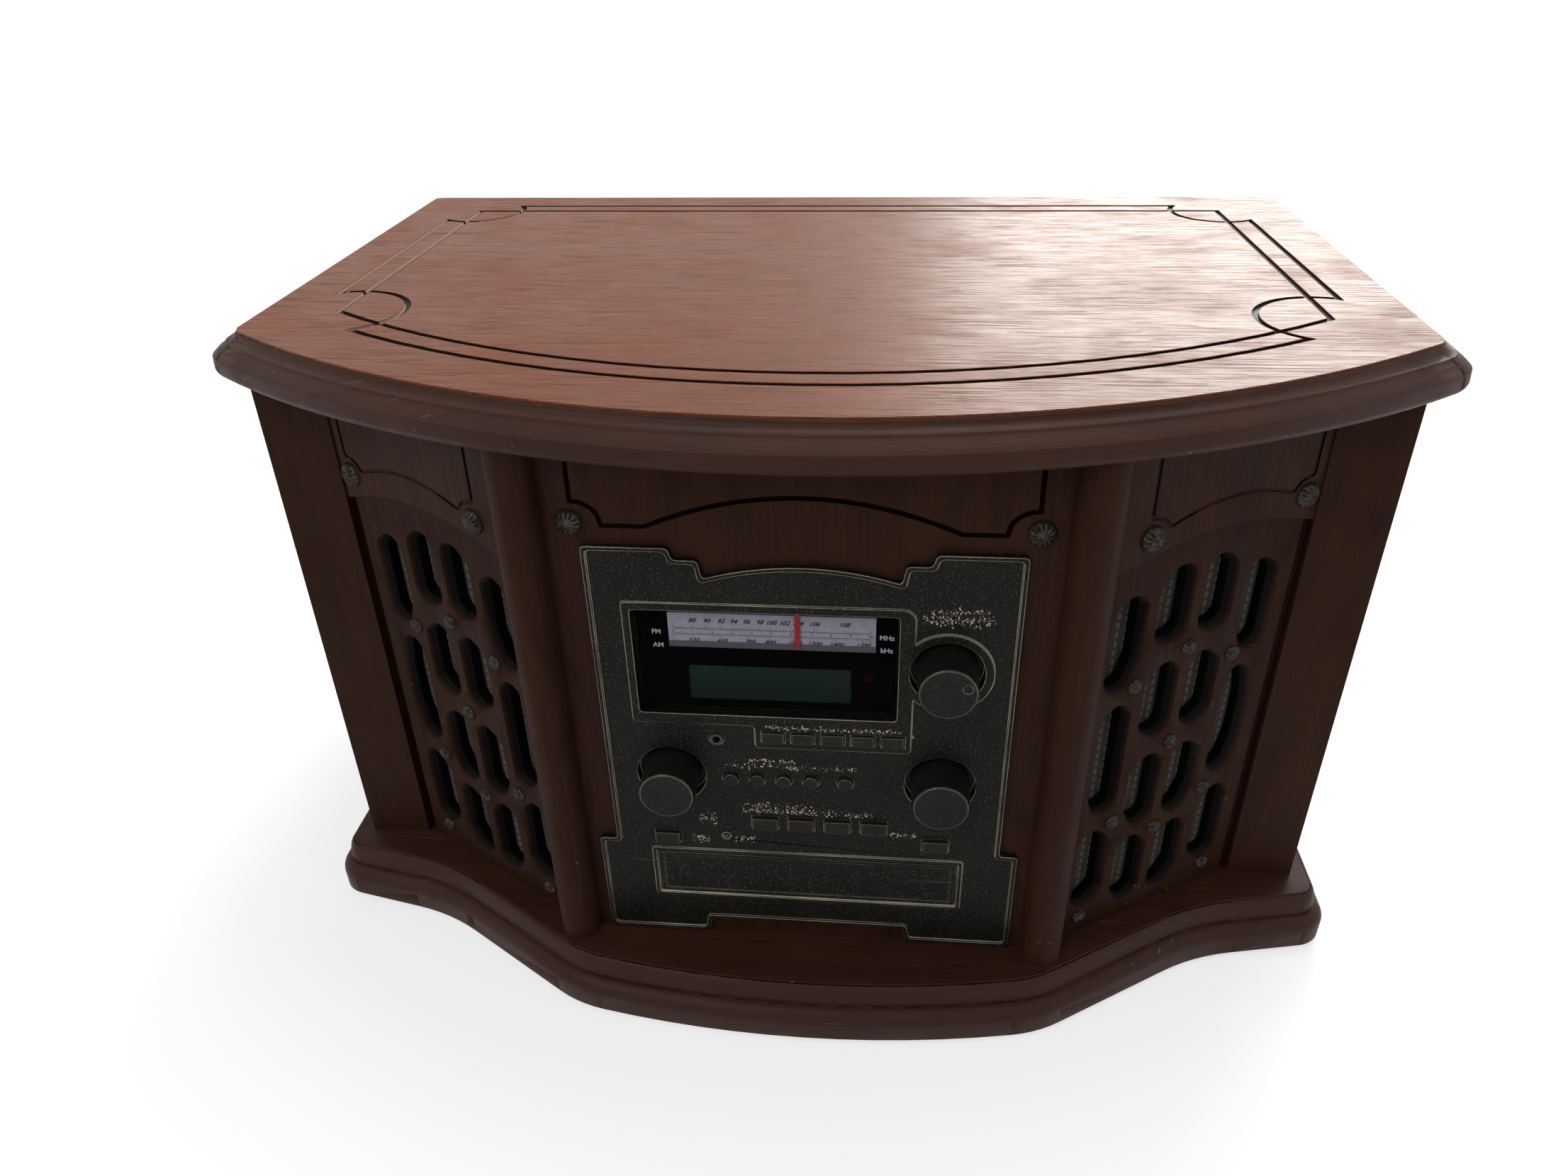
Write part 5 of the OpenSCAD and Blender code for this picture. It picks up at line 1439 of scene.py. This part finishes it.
FINISHES: tuple[Finish, ...] = (
    StainedWood("lid_wood", (0.49, 0.275, 0.16), 0.3,
                dark=(0.36, 0.175, 0.085), pores=0.9, figure=0.3, chips=0.25, scratches=0.35,
                gloss=0.16, relief=0.5),
    StainedWood("front_wood", (0.25, 0.145, 0.098), 0.5, gloss=0.08,
                dark=(0.135, 0.068, 0.044), grain=Grain.UPRIGHT, pores=0.3, figure=0.55,
                chips=0.45),
    StainedWood("grille_wood", (0.215, 0.122, 0.08), 0.5, gloss=0.06,
                dark=(0.115, 0.058, 0.036), grain=Grain.UPRIGHT, pores=0.3, figure=0.55,
                chips=0.45, wing_turn=WING_TURN),
    StainedWood("case_wood", (0.25, 0.145, 0.092), 0.48, gloss=0.1,
                dark=(0.14, 0.075, 0.045), grain=Grain.UPRIGHT, pores=0.3, figure=0.6),
    StainedWood("moulding_wood", (0.27, 0.155, 0.108), 0.42, gloss=0.16,
                dark=(0.145, 0.07, 0.046), pores=0.2, figure=0.45, chips=0.7,
                scratches=0.4),
    StainedWood("batten_wood", (0.62, 0.48, 0.32), 0.7,
                dark=(0.48, 0.35, 0.22), chips=0.0, scratches=0.0),
    StainedWood("rear_board", (0.20, 0.125, 0.09), 0.7,
                dark=(0.13, 0.08, 0.055), pores=0.1, figure=0.3, chips=0.1),
    # Painted shade in the front board's grooves and on the valance's edges.
    Finish("groove_shade", (0.085, 0.05, 0.036), 0.8, gloss=0.0),
    # Painted shade in the lid's grooves.
    Finish("lid_recess_shade", (0.10, 0.05, 0.035), 0.5, gloss=0.1),
    # Painted highlight on the lid's left groove walls that face +X.
    Finish("lid_wall_highlight", (0.66, 0.56, 0.50), 0.7, gloss=0.1),
    HammeredPaint("fascia_plastic", (0.08, 0.076, 0.066), 0.42, metal=0.12,
                  gloss=0.1, depth=0.9, fleck=(0.34, 0.33, 0.29), scale=0.75),
    # Lighter metal on the fascia's rounded edges and the lamp ring: wear and a painted highlight.
    HammeredPaint("rim_wear_and_highlight", (0.46, 0.44, 0.375), 0.36, metal=0.7, depth=0.2,
                  fleck=(0.62, 0.60, 0.52)),
    HammeredPaint("button_plastic", (0.105, 0.10, 0.09), 0.38, metal=0.12,
                  gloss=0.12, depth=0.25, scale=1.3),
    HammeredPaint("knob_plastic", (0.085, 0.084, 0.078), 0.36, metal=0.1,
                  gloss=0.12, depth=0.18, scale=1.3),
    # Painted highlight on the rounded edges of the knobs, buttons and drawer door.
    HammeredPaint("knob_edge_highlight", (0.25, 0.24, 0.205), 0.3, metal=0.6, depth=0.15,
                  fleck=(0.4, 0.39, 0.34)),
    AgedPewter("pewter", (0.24, 0.22, 0.19), 0.42, metal=0.7, gloss=0.2),
    SmokedGlass("window_gloss", (0.02, 0.02, 0.025), 0.25, gloss=0.1),
    Finish("dial_print", (0.80, 0.78, 0.86), 0.55),
    Finish("dial_shade", (0.40, 0.39, 0.42), 0.6),
    Finish("print_black", (0.05, 0.045, 0.06), 0.6),
    Finish("print_pale", (0.66, 0.67, 0.72), 0.6),
    Finish("print_flake", (0.86, 0.80, 0.75), 0.65),
    Finish("sensor_red", (0.16, 0.025, 0.03), 0.8, gloss=0.0),
    Finish("pointer_red", (0.78, 0.12, 0.16), 0.4),
    DisplayFace("display_dark", (0.022, 0.022, 0.028), 0.8, gloss=0.0),
    Finish("foot_rubber", (0.08, 0.08, 0.08), 0.8),
    Finish("speaker_metal", (0.10, 0.10, 0.10), 0.7),
    Finish("fitting_metal", (0.62, 0.60, 0.55), 0.35, metal=0.9),
    Finish("electronics", (0.12, 0.28, 0.17), 0.5),
    Finish("socket_plastic", (0.09, 0.09, 0.09), 0.4),
    Finish("tray_plastic", (0.13, 0.13, 0.14), 0.45),
    Finish("mechanism_steel", (0.58, 0.59, 0.60), 0.4, metal=0.8),
    Finish("deck_plastic", (0.10, 0.095, 0.09), 0.5),
    Finish("platter_metal", (0.72, 0.72, 0.71), 0.3, metal=0.9),
    Finish("mat_rubber", (0.085, 0.085, 0.085), 0.75),
    Finish("arm_metal", (0.76, 0.76, 0.74), 0.28, metal=0.9),
    Finish("pulley_brass", (0.76, 0.62, 0.32), 0.3, metal=0.95),
    DashedCloth("grille_cloth", (0.055, 0.05, 0.045), 0.9),
    DashedCloth("grille_cloth_left", (0.055, 0.05, 0.045), 0.9, turn=WING_TURN),
    DashedCloth("grille_cloth_right", (0.055, 0.05, 0.045), 0.9, turn=-WING_TURN),
)


def main() -> None:
    """Builds the looks in order."""
    logging.basicConfig(level=logging.INFO, format="%(message)s")
    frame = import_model()
    groups = {"grain": make_grain_group(), "wear": make_wear_group(), "hammer": make_hammer_group()}
    shop = Workshop(frame)
    shop.materials = {finish.name: finish.build(groups) for finish in FINISHES}
    shop.paint_nodes()
    Studio().build()
    for part in (Woodwork(shop), GrilleCloth(shop), Rosettes(shop), Controls(shop),
                 DialPrint(shop), FadedPrint(shop), Deck(shop)):
        part.build()
        LOG.info("finished %s", type(part).__name__)


if __name__ == "__main__":
    main()
